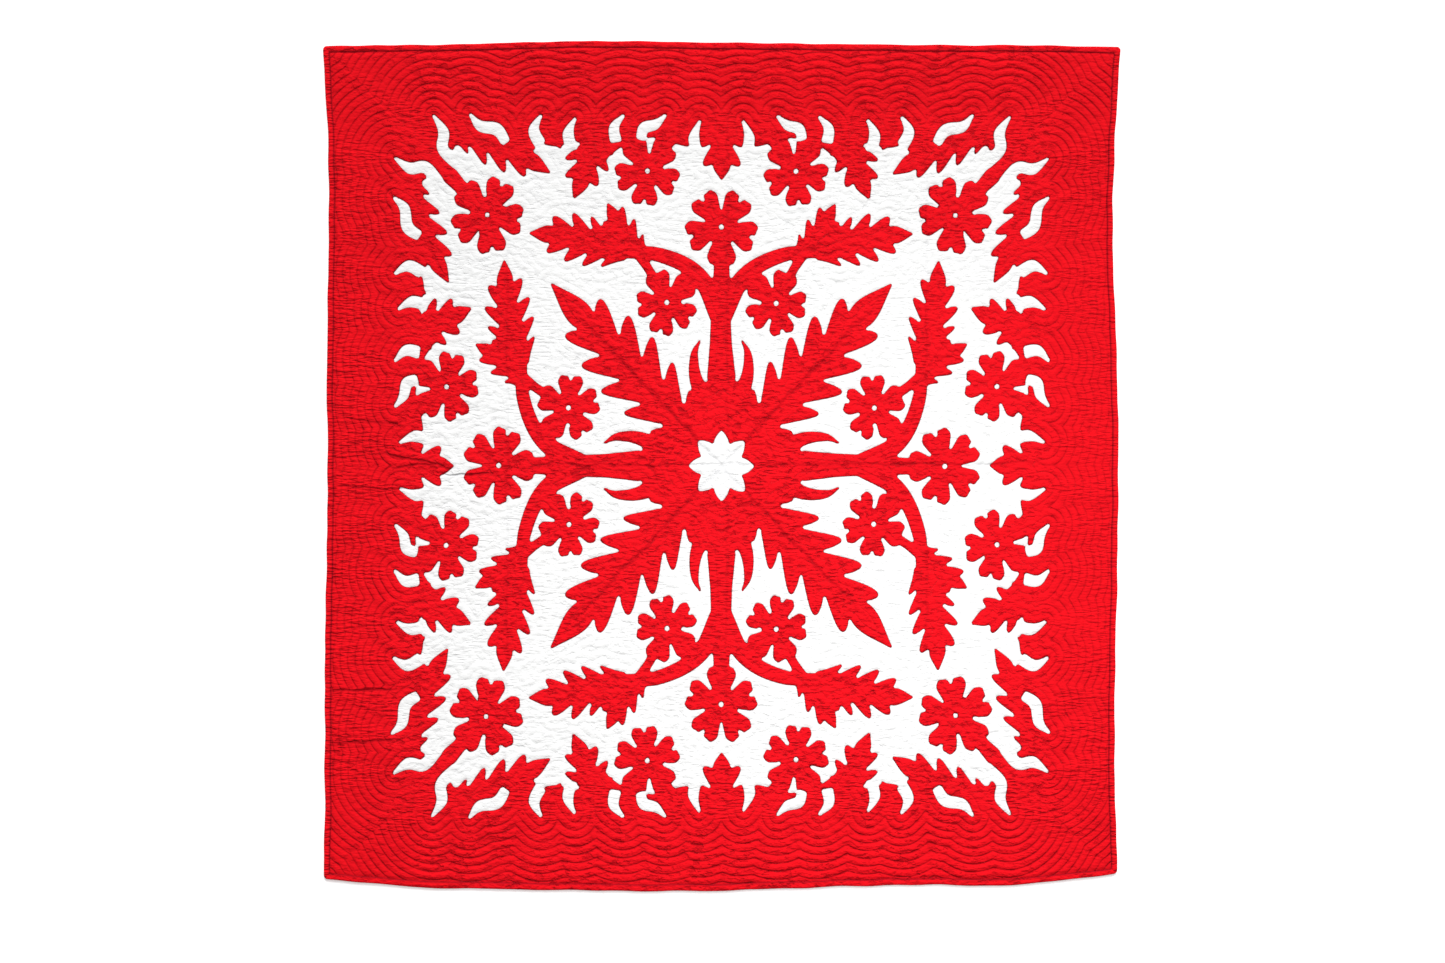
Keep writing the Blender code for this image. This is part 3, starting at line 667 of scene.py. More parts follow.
def mesh_piece(
    name: str,
    points: np.ndarray,
    quads: np.ndarray,
    triangles: np.ndarray,
    material: bpy.types.Material,
    marks: dict[str, np.ndarray] | None = None,
) -> bpy.types.Object:
    """A smooth mesh object at the origin that rides on the quilt.

    Args:
        name: the piece's name.
        points: its points, in metres.
        quads: faces of four points.
        triangles: faces of three points.
        material: its finish.
        marks: numbers for each point that the finish reads, by name.

    Returns:
        The object.
    """
    mesh = bpy.data.meshes.new(name)
    loops = np.concatenate([quads.ravel(), triangles.ravel()]).astype(np.int32)
    sizes = np.concatenate([np.full(len(quads), 4), np.full(len(triangles), 3)])
    mesh.vertices.add(len(points))
    mesh.vertices.foreach_set("co", np.ascontiguousarray(points, np.float32).ravel())
    mesh.loops.add(len(loops))
    mesh.loops.foreach_set("vertex_index", loops)
    mesh.polygons.add(len(sizes))
    mesh.polygons.foreach_set("loop_start", (np.cumsum(sizes) - sizes).astype(np.int32))
    mesh.polygons.foreach_set("use_smooth", np.ones(len(sizes), bool))
    mesh.update(calc_edges=True)
    if mesh.validate():
        raise ValueError(f"{name} has faces that don't hold")
    for mark, values in (marks or {}).items():
        mesh.attributes.new(mark, "FLOAT", "POINT").data.foreach_set("value", values.astype(np.float32))
    mesh.materials.append(material)
    made = bpy.data.objects.new(name, mesh)
    bpy.context.scene.collection.objects.link(made)
    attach(made, BODY)
    LOG.info("%s: %d points, %d triangles", name, len(points), 2 * len(quads) + len(triangles))
    return made


Socket = bpy.types.NodeSocket


class Graph:
    """A material's nodes, with short calls to add and join them."""

    def __init__(self, name: str) -> None:
        """Starts a material with its shader."""
        self.material = bpy.data.materials.new(name)
        self.material.use_nodes = True
        self.tree = self.material.node_tree
        self.shader = self.tree.nodes["Principled BSDF"]

    def add(self, kind: str, inputs: dict[str | int, object] | None = None, **settings: object) -> bpy.types.Node:
        """Adds a node.

        Args:
            kind: the node's type.
            inputs: values or sockets for its inputs, by name or place.
            settings: the node's own settings.

        Returns:
            The node.
        """
        node = self.tree.nodes.new(kind)
        for setting, value in settings.items():
            setattr(node, setting, value)
        for key, value in (inputs or {}).items():
            if isinstance(value, bpy.types.NodeSocket):
                self.tree.links.new(value, node.inputs[key])
            else:
                node.inputs[key].default_value = value
        return node

    def math(self, operation: str, a: object, b: object = 0.0, c: object = 0.0) -> Socket:
        """A sum on one number."""
        return self.add("ShaderNodeMath", {0: a, 1: b, 2: c}, operation=operation).outputs[0]

    def mark(self, name: str) -> Socket:
        """The piece's own number of that name."""
        return self.add("ShaderNodeAttribute", attribute_name=name).outputs["Fac"]

    def place(self, scale: tuple[float, float, float] = (1, 1, 1)) -> Socket:
        """Object coordinates, scaled."""
        coordinates = self.add("ShaderNodeTexCoord").outputs["Object"]
        return self.add("ShaderNodeMapping", {"Vector": coordinates, "Scale": scale}).outputs[0]

    def noise(self, vector: Socket, scale: float, detail: float = 2.0) -> Socket:
        """Noise from 0 to 1."""
        inputs = {"Vector": vector, "Scale": scale, "Detail": detail, "Roughness": 0.55}
        return self.add("ShaderNodeTexNoise", inputs, normalize=True).outputs[0]

    def mix(self, factor: object, a: object, b: object, blend: str = "MIX") -> Socket:
        """One colour blended into another."""
        node = self.add("ShaderNodeMix", {0: factor, 6: a, 7: b}, data_type="RGBA", blend_type=blend)
        return node.outputs[2]

    def ramp(self, value: Socket, low: float, high: float, first: float, last: float) -> Socket:
        """A number that eases from first to last as value goes from low to high."""
        inputs = {0: value, 1: low, 2: high, 3: first, 4: last}
        return self.add("ShaderNodeMapRange", inputs, interpolation_type="SMOOTHSTEP").outputs[0]

    def bell(self, value: Socket, width: float) -> Socket:
        """e to the power of -(value / width)^2."""
        return self.math("POWER", math.e, self.math("MULTIPLY", self.math("POWER", value, 2.0), -1 / width**2))


@dataclass(frozen=True)
class Cotton:
    """Plain-woven cotton, quilted by hand."""

    name: str
    colour: tuple[float, float, float]
    # shade is the painted shade colour of the lines, gathers and creases, and edge_shade the painted shadow along sewn
    # edges.
    shade: tuple[float, float, float]
    edge_shade: tuple[float, float, float]
    # How much painted shade the lines' valleys and the gathers get.
    groove_shade_share: float
    gather_shade_share: float
    groove_mm: float
    gather_mm: float
    roughness: float = 0.88

    def material(self) -> bpy.types.Material:
        """Colour with a soft random tone, painted shade in the lines, gathers, creases and slanting corners, and a
        painted shadow along sewn edges, over grooves, gathers and weave.

        The marks echo, edge, lean and firm come from the mesh. A groove is a bell round each whole echo. A gather
        is a bell round the middle value of a noise, which is long across upright lines and short elsewhere.

        Returns:
            The material.
        """
        g = Graph(self.name)
        here = g.place()
        x, y, _ = g.add("ShaderNodeSeparateXYZ", {0: here}).outputs
        # calm is 0.62 right of the middle and 1 elsewhere: there it weakens the painted shade of the lines and gathers,
        # and the gathers' bumps.
        calm = g.math("MULTIPLY", g.ramp(x, 0.2, 0.9, 0.0, 1.0), g.ramp(g.math("ABSOLUTE", y), 0.35, 0.85, 1.0, 0.0))
        calm = g.math("MULTIPLY_ADD", calm, -0.38, 1.0)
        slant = g.mark("slant")
        loose = g.math("MULTIPLY", calm, g.math("MULTIPLY_ADD", slant, -0.55, 1.0))
        fuller = g.math("MULTIPLY", g.ramp(g.noise(here, 7.0, 3.0), 0.34, 0.62, 0.35, 1.0), loose)
        firmer = g.math("MULTIPLY", g.ramp(g.noise(here, 17.0, 2.0), 0.30, 0.60, 0.5, 1.0), g.mark("firm"))
        groove = g.math("MULTIPLY", g.bell(g.math("PINGPONG", g.mark("echo"), 0.5), 0.10), firmer)
        upright = g.ramp(g.mark("lean"), 0.55, 0.95, 0.0, 1.0)
        long = g.noise(g.place((40.0, 165.0, 40.0)), 1.0, 1.5)
        short = g.noise(g.place((46.0, 78.0, 46.0)), 1.0, 3.0)
        wavy = g.add("ShaderNodeMix", {0: upright, 2: short, 3: long}).outputs[0]
        gather = g.math("MULTIPLY", g.ramp(wavy, 0.37, 0.46, 1.0, 0.0), fuller)
        crease = self.creased(g, here)
        weave_u = g.add("ShaderNodeTexWave", {"Vector": here, "Scale": 390.0, "Distortion": 0.4}, bands_direction="X")
        weave_v = g.add("ShaderNodeTexWave", {"Vector": here, "Scale": 390.0, "Distortion": 0.4}, bands_direction="Y")
        height = g.math("MULTIPLY", g.math("MULTIPLY", weave_u.outputs["Fac"], weave_v.outputs["Fac"]), 0.04)
        crumple = g.noise(here, 95.0, 4.0)
        wave = g.math("MULTIPLY", wavy, loose)
        parts = ((crumple, 1.0), (wave, 5 * self.gather_mm), (groove, -self.groove_mm), (gather, -self.gather_mm))
        for part, depth in (*parts, (crease, -1.0)):
            height = g.math("MULTIPLY_ADD", part, depth, height)
        bump = g.add("ShaderNodeBump", {"Strength": 1.0, "Distance": MM, "Height": height})
        # Random mottling of the tone; painted shade is added to it below, and the sum mixes the colour towards shade.
        mottle_and_painted_shade = g.math("MULTIPLY_ADD", g.noise(here, 3.2, 3.0), 0.22, -0.08)
        # Painted shade in the quilted lines' valleys, less on upright lines and where calm is under 1.
        line = g.math("MULTIPLY", groove, g.math("MULTIPLY", g.math("MULTIPLY_ADD", upright, -0.4, 1.0), calm))
        # The mid-scale noise is random tone; the lines and the gathers add painted shade in their valleys and pinches.
        mottle_and_shade_parts = ((g.noise(here, 42.0, 4.0), 0.20), (line, self.groove_shade_share), (gather, self.gather_shade_share))
        # crease adds painted shade in the pinches, and slant painted shade where the lines run slantwise in the
        # border's corners.
        for part, share in (*mottle_and_shade_parts, (crease, 0.40), (slant, 0.11)):
            mottle_and_painted_shade = g.math("MULTIPLY_ADD", part, share, mottle_and_painted_shade)
        colour = g.mix(mottle_and_painted_shade, (*self.colour, 1), (*self.shade, 1))
        # Painted shadow: a thin dark line along every sewn edge, the binding's seam too.
        edge = g.math("MULTIPLY", g.bell(g.mark("edge"), 0.075), 0.8)
        colour = g.mix(edge, colour, (*self.edge_shade, 1))
        g.tree.links.new(colour, g.shader.inputs["Base Color"])
        g.tree.links.new(bump.outputs[0], g.shader.inputs["Normal"])
        g.shader.inputs["Roughness"].default_value = self.roughness
        g.shader.inputs["Sheen Weight"].default_value = 0.04
        g.shader.inputs["Sheen Roughness"].default_value = 0.5
        g.shader.inputs["Sheen Tint"].default_value = (*self.colour, 1)
        g.shader.inputs["Specular IOR Level"].default_value = 0.08
        return g.material

    @staticmethod
    def creased(g: Graph, here: Socket) -> Socket:
        """How deep the pinches are, in millimetres: a wandering bell across each, which fades at its ends."""
        wander = g.math("MULTIPLY_ADD", g.noise(here, 14.0, 3.0), 26 * MM, -13 * MM)
        deepest = None
        for crease in CREASES:
            run = np.subtract(crease.end, crease.start)
            place = g.add(
                "ShaderNodeMapping",
                {
                    "Vector": g.add("ShaderNodeTexCoord").outputs["Object"],
                    "Location": (*crease.start, 0),
                    "Rotation": (0, 0, math.atan2(run[1], run[0])),
                    "Scale": (float(np.hypot(*run)), 1, 1),
                },
                vector_type="TEXTURE",
            )
            along, across, _ = g.add("ShaderNodeSeparateXYZ", {0: place.outputs[0]}).outputs
            fade = g.math("MULTIPLY", g.ramp(along, 0.0, 0.2, 0.0, 1.0), g.ramp(along, 0.8, 1.0, 1.0, 0.0))
            across = g.math("ADD", across, wander)
            depth = g.math("MULTIPLY", g.bell(across, crease.half_width), g.math("MULTIPLY", fade, crease.depth_mm))
            deepest = depth if deepest is None else g.math("MAXIMUM", deepest, depth)
        return deepest


@dataclass(frozen=True)
class Thread:
    """Spun quilting thread."""

    name: str
    colour: tuple[float, float, float]
    shade: tuple[float, float, float]

    def material(self) -> bpy.types.Material:
        """Colour that varies from stitch to stitch, with a little gloss."""
        g = Graph(self.name)
        varied = g.noise(g.place(), 180.0, 2.0)
        g.tree.links.new(g.mix(varied, (*self.colour, 1), (*self.shade, 1)), g.shader.inputs["Base Color"])
        twist = g.noise(g.place((900.0, 900.0, 900.0)), 1.0, 2.0)
        bump = g.add("ShaderNodeBump", {"Strength": 0.5, "Distance": 0.2 * MM, "Height": twist})
        g.tree.links.new(bump.outputs[0], g.shader.inputs["Normal"])
        g.shader.inputs["Roughness"].default_value = 0.6
        return g.material


@dataclass
class Surface:
    """What every cloth is worked out from: outline, pattern, quilting and the relief at any shares."""

    outline: Outline = field(default_factory=Outline)
    quilting: Quilting = field(default_factory=Quilting)
    design: Design = field(default_factory=Design)

    def __post_init__(self) -> None:
        """Works the pattern out."""
        self.pattern = Pattern(self.design, self.outline)

    def marks(self, u: np.ndarray, v: np.ndarray) -> dict[str, np.ndarray]:
        """The numbers that the finishes read, at each point.

        Args:
            u: shares across.
            v: shares up.

        Returns:
            echo, the distance from the pattern's edge in pitches; edge, the same to the nearest sewn edge, the
            binding's too; lean, 1 where the lines run up the quilt; slant, 1 where they run slantwise outside
            the sprays; and firm, how firmly they are pulled in, which is most there too.
        """
        pitch = self.outline.share(self.quilting.pitch)
        echo = np.abs(self.pattern.at(self.pattern.red, u, v)) / pitch
        edge = (self.outline.inset(u, v) - self.outline.share(self.outline.binding_width)) / pitch
        lean = self.pattern.at(self.pattern.lean, u, v)
        outer = eased((np.maximum(np.abs(u), np.abs(v)) - 0.80) / 0.06)
        firm = (0.45 + 0.55 * outer) * (1 + 0.20 * gradient_noise(u, v, (0.11, 0.11), 5)) * (1 - 0.35 * lean)
        slant = 4 * lean * (1 - lean) * outer
        edge = np.minimum(echo, np.maximum(edge, 0))
        return {"echo": echo, "edge": edge, "lean": lean, "slant": slant, "firm": firm}

    def ground(self, u: np.ndarray, v: np.ndarray, marks: dict[str, np.ndarray]) -> np.ndarray:
        """Points on the quilted ground, pressed flat towards the binding."""
        x, y = self.outline.placed(u, v)
        z = self.quilting.height(x, y, marks)
        inside = (self.outline.inset(u, v) * self.outline.mean_half - self.outline.binding_width) / (9 * MM)
        z = self.quilting.valley + (z - self.quilting.valley) * (0.10 + 0.90 * eased(inside))
        return np.stack([x, y, z], axis=-1)


@dataclass
class RedCloth:
    """A red cloth sewn on the ground, its edge turned under."""

    surface: Surface
    name: str
    node: str
    hem: float = 3.0 * MM
    drop: float = 1.1 * MM

    def build(self, shape: Shape, material: bpy.types.Material) -> bpy.types.Object:
        """Lays a shape on the ground and turns its edge under.

        The cloth stands its own thickness over the ground, and eases down to half of it at the edge.

        Args:
            shape: the cloth's shape, trimmed to the pattern.
            material: the finish.

        Returns:
            The piece.
        """
        s = self.surface
        marks = s.marks(shape.u, shape.v)
        points = s.ground(shape.u, shape.v, marks)
        lift = 0.45 + 0.55 * eased(marks["echo"] * s.quilting.pitch / (4 * MM))
        points[:, 2] += s.quilting.cloth * lift
        edge = np.unique(shape.rim)
        middle_u, middle_v = self.inward(shape.u[edge], shape.v[edge])
        under = s.ground(middle_u, middle_v, {name: values[edge] for name, values in marks.items()})
        under[:, 2] = points[edge, 2] - self.drop
        renumber = np.zeros(len(points), int)
        renumber[edge] = np.arange(len(edge)) + len(points)
        a, b = shape.rim.T
        turned = np.stack([b, a, renumber[a], renumber[b]], axis=-1)
        marks = {name: np.concatenate([values, values[edge]]) for name, values in marks.items()}
        piece = mesh_piece(
            self.name, np.vstack([points, under]), np.vstack([shape.quads, turned]), shape.triangles, material, marks
        )
        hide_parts(self.node)
        return piece

    def inward(self, u: np.ndarray, v: np.ndarray) -> tuple[np.ndarray, np.ndarray]:
        """Shares moved by the hem's width into the cloth, against the slope of its signed distance."""
        pattern, step = self.surface.pattern, 2.0 / self.surface.pattern.cells
        slope_u = pattern.at(pattern.red, u + step, v) - pattern.at(pattern.red, u - step, v)
        slope_v = pattern.at(pattern.red, u, v + step) - pattern.at(pattern.red, u, v - step)
        steep = np.hypot(slope_u, slope_v) + 1e-9
        reach = self.surface.outline.share(self.hem)
        return u - reach * slope_u / steep, v - reach * slope_v / steep


@dataclass
class Medallion(RedCloth):
    """The red cloth in the middle."""

    name: str = "medallion"
    node: str = "medallion_cloth"
    half: float = 0.68
    cell: float = 3.3 * MM

    def make(self, material: bpy.types.Material) -> bpy.types.Object:
        """Builds it on a square grid."""
        s = self.surface
        side = np.linspace(-self.half, self.half, round(2 * self.half * s.outline.mean_half / self.cell))
        u, v = np.meshgrid(side, side, indexing="ij")
        return self.build(Shape.trimmed(u, v, s.pattern.at(s.pattern.medallion, u, v)), material)


@dataclass
class Border(RedCloth):
    """The red cloth round the edge, its inner edge cut into sprays."""

    name: str = "border"
    node: str = "border_cloth"
    spray_half: float = 0.862
    inner_half: float = 0.60
    inner_radius: float = 0.26
    plain_rows: int = 34
    spray_rows: int = 58
    stations: int = 190
    corner_share: float = 0.25

    def rings(self, half: np.ndarray, stations: int) -> tuple[np.ndarray, np.ndarray]:
        """Rings of these half sides, inwards, each rounder at its corners than the one outside it."""
        outline = self.surface.outline
        edge = 1 - outline.share(outline.binding_width - 2 * MM)
        sharp = outline.radius_at(1 - edge)
        radius = sharp + (self.inner_radius - sharp) * (edge - half) / (edge - self.inner_half)
        rings = [outline.ring(h, r, stations) for h, r in zip(half, radius)]
        u, v = (np.stack([ring[k] for ring in rings], axis=-1)[::-1] for k in (0, 1))
        return u, v

    def make(self, material: bpy.types.Material) -> bpy.types.Object:
        """Builds it on rings from the binding inwards, with every second station left out where it is plain.

        The plain part keeps them all at the corners, where the quilted lines lean. Between the two parts, a quad
        joins each two outer stations to the two inner ones before the second, and a wedge fills what is left.

        Returns:
            The piece.
        """
        s = self.surface
        edge = 1 - s.outline.share(s.outline.binding_width - 2 * MM)
        steps = np.linspace(edge, self.spray_half, self.plain_rows)
        number = np.arange(8 * self.stations)
        from_corner = self.stations - np.abs(number % (2 * self.stations) + 0.5 - self.stations)
        kept = number[(number % 2 == 0) | (from_corner < self.corner_share * self.stations)]
        plain_u, plain_v = (grid[kept] for grid in self.rings(steps, self.stations))
        after = self.spray_half - (steps[0] - steps[1])
        spray_u, spray_v = self.rings(np.linspace(after, self.inner_half, self.spray_rows), self.stations)
        shape = Shape.trimmed(spray_u, spray_v, s.pattern.at(s.pattern.border, spray_u, spray_v), True)
        count, around = len(shape.u), len(plain_u)
        plain = count + np.arange(plain_u.size).reshape(plain_u.shape)
        following = np.roll(plain, -1, axis=0)
        quads = np.stack([plain[:, :-1], following[:, :-1], following[:, 1:], plain[:, 1:]], axis=-1)
        near, fine = plain[:, -1], shape.number[:, 0]
        later = np.roll(kept, -1)
        joins = np.stack([near, np.roll(near, -1), fine[later], fine[later - 1]], axis=-1)
        wide = (later - kept) % len(fine) == 2
        wedges = np.stack([near, fine[later - 1], fine[kept]], axis=-1)[wide]
        shape.u = np.concatenate([shape.u, plain_u.ravel()])
        shape.v = np.concatenate([shape.v, plain_v.ravel()])
        shape.quads = np.vstack([shape.quads, quads.reshape(-1, 4), joins])
        shape.triangles = np.vstack([shape.triangles, wedges])
        LOG.info("border: %d stations round it, %d where the sprays are", around, len(fine))
        return self.build(shape, material)


@dataclass
class WhiteFace:
    """The white face where it shows, tucked a little under the red."""

    surface: Surface
    half: float = 0.87
    cell: float = 4.5 * MM
    tuck: float = 5.0 * MM
    lowered: float = 0.9 * MM

    def make(self, material: bpy.types.Material) -> bpy.types.Object:
        """Builds it on a square grid, trimmed to all that isn't red, and lowered under the red's edge."""
        s = self.surface
        side = np.linspace(-self.half, self.half, round(2 * self.half * s.outline.mean_half / self.cell))
        u, v = np.meshgrid(side, side, indexing="ij")
        outside = -s.pattern.at(s.pattern.red, u, v) - s.outline.share(self.tuck)
        shape = Shape.trimmed(u, v, outside)
        marks = s.marks(shape.u, shape.v)
        points = s.ground(shape.u, shape.v, marks)
        under = -s.pattern.at(s.pattern.red, shape.u, shape.v) * s.outline.mean_half / (3 * MM)
        points[:, 2] -= self.lowered * eased(under)
        piece = mesh_piece("white_face", points, shape.quads, shape.triangles, material, marks)
        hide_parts("ground")
        return piece


@dataclass
class FilledBody:
    """The filling and back of the quilt: a closed slab whose underside is the back cloth."""

    surface: Surface
    cell: float = 12 * MM
    rim: float = 4.5 * MM
    top: float = 2.6 * MM
    flap_reach: float = 16.8 * MM
    flap_top: float = 1.3 * MM

    def make(self, material: bpy.types.Material) -> bpy.types.Object:
        """Builds it as one trimmed grid twice, above and below, with a wall between their rims.

        The underside is flat, and steps up over the binding's under flap. The grid's lines stand closer there.

        Returns:
            The piece.
        """
        s = self.surface
        edge = 1 - np.array([2.0, 9.0, self.flap_reach / MM, self.flap_reach / MM + 2.0]) * s.outline.share(MM)
        even = np.linspace(-edge[-1], edge[-1], round(2 * s.outline.mean_half / self.cell))
        side = np.concatenate([-edge[:-1], even, edge[:-1][::-1]])
        u, v = np.meshgrid(side, side, indexing="ij")
        shape = Shape.trimmed(u, v, s.outline.share(self.rim) - s.outline.inset(u, v))
        x, y = s.outline.placed(shape.u, shape.v)
        inside = s.outline.inset(shape.u, shape.v) * s.outline.mean_half
        step = self.flap_top * eased((self.flap_reach + 2 * MM - inside) / (2 * MM))
        over = np.stack([x, y, np.full_like(x, self.top)], axis=-1)
        under = np.stack([x, y, step], axis=-1)
        count = len(x)
        a, b = shape.rim.T
        wall = np.stack([b, a, a + count, b + count], axis=-1)
        quads = np.vstack([shape.quads, shape.quads[:, ::-1] + count, wall])
        triangles = np.vstack([shape.triangles, shape.triangles[:, ::-1] + count])
        # edge is 1 on the body, so no painted shadow of an edge falls on the back.
        marks = s.marks(shape.u, shape.v) | {"edge": np.ones_like(x)}
        marks = {name: np.concatenate([values, values]) for name, values in marks.items()}
        piece = mesh_piece("filled_body", np.vstack([over, under]), quads, triangles, material, marks)
        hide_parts("ground")
        return piece


@dataclass
class Binding:
    """One side's folded strip, mitred at both ends."""

    surface: Surface
    side: Side
    stations: int = 400
    corner_stations: int = 12
    profile_mm: tuple[tuple[float, float], ...] = (
        (16.4, 1.0), (15.8, 0.2), (14.0, 0.0), (4.0, 0.0), (1.2, 0.9), (0.2, 2.6), (0.0, 4.4), (0.5, 6.3),
        (2.0, 7.8), (4.6, 8.5), (8.0, 8.6), (11.5, 8.4), (14.2, 7.9), (15.8, 6.9), (16.5, 5.2),
    )

    def make(self, material: bpy.types.Material) -> bpy.types.Object:
        """Carries the profile along the side, from one corner's middle to the other's, rippling a little.

        A point is the rounded square at its inset, with its height times 1 + a small wave along the strip. The
        ends sink a little, which leaves the seam of the mitre.

        Returns:
            The piece.
        """
        s = self.surface
        turn = s.outline.share(1.6 * s.outline.corner_radius)
        end = np.linspace(1 - turn, 1, self.corner_stations + 1)[1:]
        even = np.linspace(turn - 1, 1 - turn, self.stations - 2 * self.corner_stations)
        share = np.concatenate([-end[::-1], even, end])
        mitre = eased((1 - np.abs(share)) / (3 * MM))
        columns, seam = [], []
        for inset_mm, z_mm in self.profile_mm:
            inset = s.outline.share(inset_mm * MM)
            p, q = s.outline.run(1 - inset, s.outline.radius_at(inset), share)
            turned = ((p, q), (q, -p), (-p, -q), (-q, p))[self.side.value]
            x, y = s.outline.placed(*turned)
            ripple = gradient_noise(share, np.full_like(share, 0.5 + inset_mm / 40), (0.022, 1.0), 31 + self.side.value)
            z = z_mm * MM * (0.92 + 0.08 * mitre) * (1 + 0.05 * ripple * mitre * (z_mm > 5))
            columns.append(np.stack([x, y, z], axis=-1))
            # The seam's distance, which the finish darkens near 0 into a painted shadow along the binding's inner edge.
            seam.append(np.full_like(x, 0.4 * (self.profile_mm[-1][0] - inset_mm) * MM / s.quilting.pitch))
        points = np.array(columns).transpose(1, 0, 2).reshape(-1, 3)
        corners = len(columns)
        i, j = np.meshgrid(np.arange(self.stations - 1), np.arange(corners - 1), indexing="ij")
        first = i * corners + j
        quads = np.stack([first, first + corners, first + corners + 1, first + 1], axis=-1).reshape(-1, 4)
        edge = np.transpose(seam).ravel()
        lean = np.full_like(edge, float(self.side in (Side.LEFT, Side.RIGHT)))
        marks = {"echo": np.full_like(edge, 0.5), "edge": edge, "lean": lean, "firm": np.full_like(edge, 0.6)}
        marks["slant"] = np.zeros_like(edge)
        name = f"binding_{self.side.name.lower()}"
        piece = mesh_piece(f"{name}_strip", points, quads, np.zeros((0, 3), int), material, marks)
        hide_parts(name)
        return piece


@dataclass
class Stitching:
    """Running stitches along every quilted line, one colour of thread to each cloth."""

    surface: Surface
    cell: float = 3.2 * MM
    length: float = 3.4 * MM
    thickness: float = 0.7 * MM

    def lines(self) -> tuple[np.ndarray, np.ndarray, np.ndarray, np.ndarray]:
        """Where the lines pass through every second cell of a fine grid.

        A side of a cell is crossed where echo passes a whole number between its ends. A cell with two crossed
        sides holds a piece of line, whose middle and direction are those of the two crossings.

        Returns:
            The middles' u and v, and the directions' u and v.
        """
        s = self.surface
        side = np.linspace(-0.985, 0.985, round(1.97 * s.outline.mean_half / self.cell))
        u, v = np.meshgrid(side, side, indexing="ij")
        echo = s.marks(u, v)["echo"]
        level = np.floor(echo)

        def crossing(a: tuple, b: tuple) -> np.ndarray:
            """The u and v where echo passes a whole number between two grid points, and 0 where it doesn't."""
            passes = level[a] != level[b]
            whole = np.maximum(level[a], level[b])
            share = (whole - echo[a]) / np.where(passes, echo[b] - echo[a], 1)
            return np.stack([passes, passes * (u[a] + share * (u[b] - u[a])), passes * (v[a] + share * (v[b] - v[a]))])

        near, far = slice(0, -1), slice(1, None)
        sides = [
            crossing((near, near), (far, near)),
            crossing((far, near), (far, far)),
            crossing((near, far), (far, far)),
            crossing((near, near), (near, far)),
        ]
        total = sum(sides)
        i, j = np.indices(total.shape[1:])
        first = np.zeros_like(total)
        for crossed in sides:
            first = np.where((first[0] == 0) & (crossed[0] > 0), crossed, first)
        second = total - first
        gap = np.hypot(second[1] - first[1], second[2] - first[2])
        kept = (total[0] == 2) & ((i + j) % 2 == 0) & (gap > 0.35 * (side[1] - side[0]))
        run_u, run_v = ((second[k] - first[k])[kept] / gap[kept] for k in (1, 2))
        return total[1][kept] / 2, total[2][kept] / 2, run_u, run_v

    def make(self, red: bpy.types.Material, white: bpy.types.Material) -> list[bpy.types.Object]:
        """Puts a raised grain of thread on each piece of line: two ends, two sides and a top."""
        s = self.surface
        u, v, run_u, run_v = self.lines()
        on_red = s.pattern.at(s.pattern.red, u, v) < 0
        made = []
        for name, chosen, material, slot in (
            ("red_stitches", on_red, red, "red_cotton"),
            ("white_stitches", ~on_red, white, "white_cotton"),
        ):
            p, q, du, dv = (values[chosen] for values in (u, v, run_u, run_v))
            middle = s.ground(p, q, s.marks(p, q))
            middle[:, 2] += (s.quilting.cloth if slot == "red_cotton" else 0) + 0.15 * MM
            run = np.stack([du, dv, np.zeros_like(du)], axis=-1) * self.length / 2
            across = np.stack([-dv, du, np.zeros_like(du)], axis=-1) * self.thickness / 2
            up = np.array([0, 0, self.thickness])
            grains = np.stack([middle - run, middle - across, middle + run, middle + across, middle + up], axis=1)
            first = np.arange(len(grains))[:, None, None] * 5
            faces = first + np.array([[0, 1, 4], [1, 2, 4], [2, 3, 4], [3, 0, 4]])
            piece = mesh_piece(name, grains.reshape(-1, 3), np.zeros((0, 4), int), faces.reshape(-1, 3), material)
            made.append(piece)
        return made


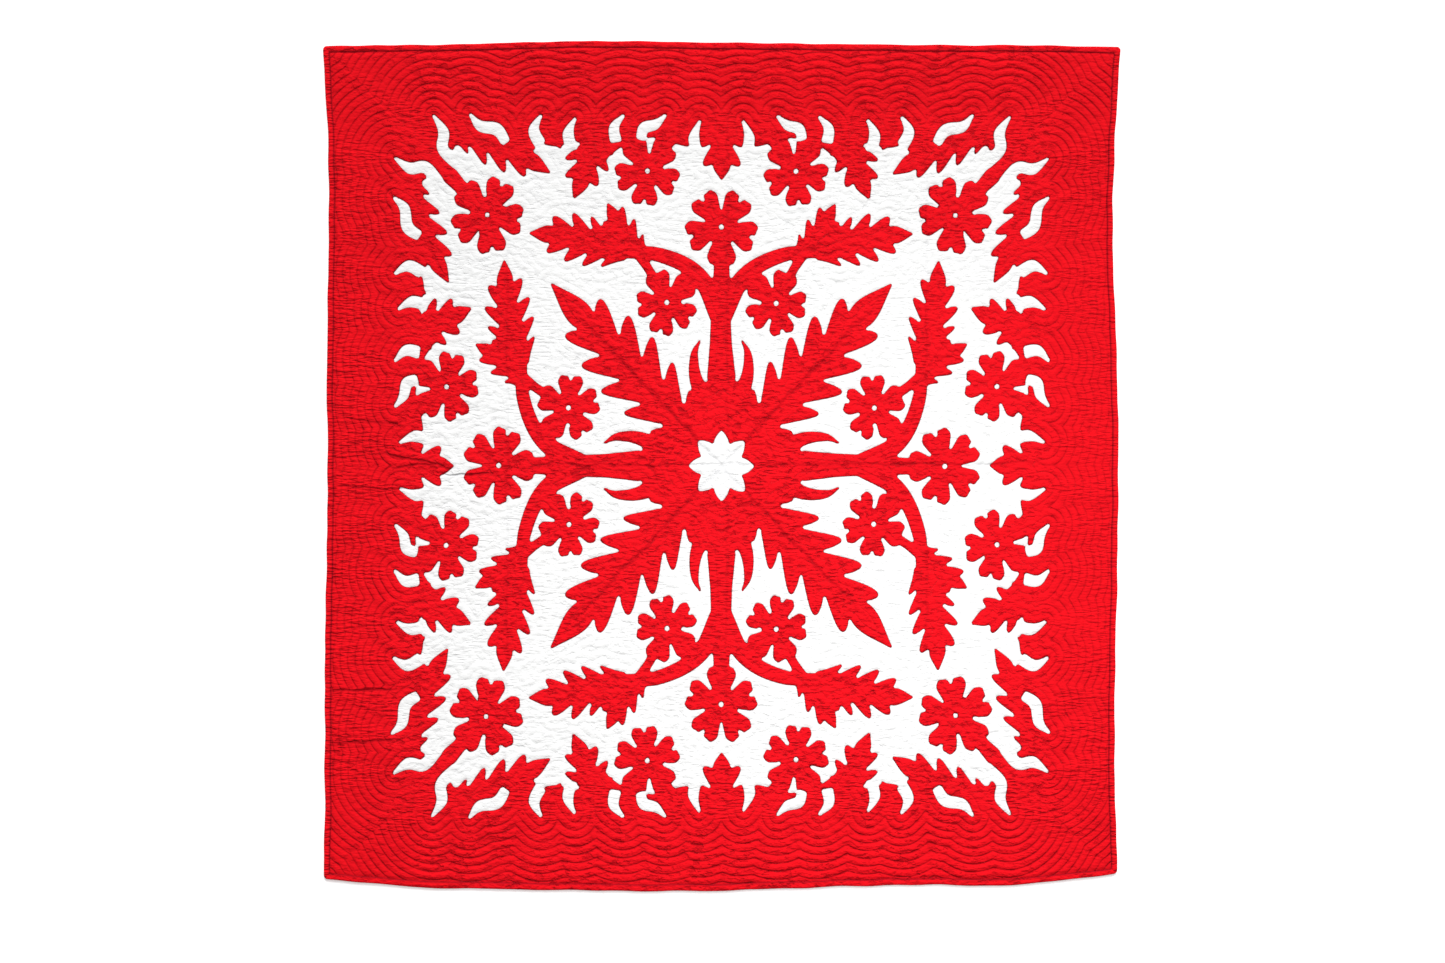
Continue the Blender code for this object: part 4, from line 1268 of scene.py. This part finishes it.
@dataclass(frozen=True)
class Studio:
    """A pale floor, a soft light from beyond the top edge, and a camera straight above."""

    picture_width: int = 1445
    metres_per_pixel: float = 0.002492
    lens: float = 50.0
    sensor: float = 36.0
    aim: tuple[float, float] = (0.0018, -0.0381)
    floor_half: float = 40.0

    def make(self) -> None:
        """Builds the floor, lights and camera."""
        self.floor()
        self.camera()
        self.lights()

    def floor(self) -> None:
        """A flat square under the quilt, clear from below, whose shadow is soft and pale."""
        mesh = bpy.data.meshes.new("floor")
        h, z = self.floor_half, -0.1 * MM
        mesh.from_pydata([(-h, -h, z), (h, -h, z), (h, h, z), (-h, h, z)], [], [(0, 1, 2, 3)])
        g = Graph("floor")
        g.shader.inputs["Base Color"].default_value = (0.93, 0.93, 0.93, 1)
        g.shader.inputs["Roughness"].default_value = 0.9
        g.shader.inputs["Emission Color"].default_value = (1, 1, 1, 1)
        g.shader.inputs["Emission Strength"].default_value = 0.24
        below = g.add("ShaderNodeNewGeometry").outputs["Backfacing"]
        clear = g.add("ShaderNodeBsdfTransparent").outputs[0]
        shown = g.add("ShaderNodeMixShader", {0: below, 1: g.shader.outputs[0], 2: clear}).outputs[0]
        g.tree.links.new(shown, g.tree.nodes["Material Output"].inputs["Surface"])
        mesh.materials.append(g.material)
        floor = bpy.data.objects.new("floor", mesh)
        floor.visible_shadow = floor.visible_diffuse = floor.visible_glossy = False
        bpy.context.scene.collection.objects.link(floor)

    def camera(self) -> None:
        """A camera whose picture is as wide in metres as the photograph's, looking straight down."""
        data = bpy.data.cameras.new("camera")
        data.lens, data.sensor_width = self.lens, self.sensor
        distance = self.picture_width * self.metres_per_pixel * self.lens / self.sensor
        camera = bpy.data.objects.new("camera", data)
        camera.location = (*self.aim, distance)
        bpy.context.scene.collection.objects.link(camera)
        bpy.context.scene.camera = camera

    def lights(self) -> None:
        """An even sky, a low sun with a wide disc from beyond the top edge, and a lamp right of the middle."""
        sun = bpy.data.lights.new("window", "SUN")
        sun.energy, sun.angle = 3.7, math.radians(30)
        window = bpy.data.objects.new("window", sun)
        window.rotation_euler = (math.radians(-57), 0, math.radians(-6))
        panel = bpy.data.lights.new("panel", "AREA")
        panel.energy, panel.size = 8.0, 0.8
        lamp = bpy.data.objects.new("panel", panel)
        lamp.location = (0.38, -0.25, 1.35)
        lamp.visible_camera = False
        for light in (window, lamp):
            bpy.context.scene.collection.objects.link(light)
        world = bpy.data.worlds.new("sky")
        world.use_nodes = True
        world.node_tree.nodes["Background"].inputs[0].default_value = (1, 1, 1, 1)
        world.node_tree.nodes["Background"].inputs[1].default_value = 0.48
        bpy.context.scene.world = world
        bpy.context.scene.view_settings.view_transform = "Standard"


def main() -> None:
    """Builds and dresses the quilt, then the studio round it."""
    logging.basicConfig(level=logging.INFO, format="%(message)s")
    surface = Surface()
    # Each cloth's second colour is its painted shade in lines, gathers and creases, the third its painted shadow along
    # sewn edges.
    red = Cotton(
        "red_cotton", (0.745, 0.0036, 0.0095), (0.38, 0.001, 0.005), (0.12, 0.001, 0.006), 0.95, 0.50, 1.8, 1.7
    ).material()
    white = Cotton(
        "white_cotton", (0.775, 0.775, 0.77), (0.62, 0.62, 0.63), (0.62, 0.40, 0.42), 0.45, 0.18, 0.8, 0.50
    ).material()
    FilledBody(surface).make(white)
    for face in (WhiteFace(surface).make(white), Border(surface).make(red), Medallion(surface).make(red)):
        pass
    for side in Side:
        Binding(surface, side).make(red)
    red_thread = Thread("red_thread", (0.62, 0.010, 0.016), (0.40, 0.004, 0.008)).material()
    white_thread = Thread("white_thread", (0.88, 0.88, 0.86), (0.70, 0.70, 0.70)).material()
    Stitching(surface).make(red_thread, white_thread)
    Studio().make()


if __name__ == "__main__":
    main()
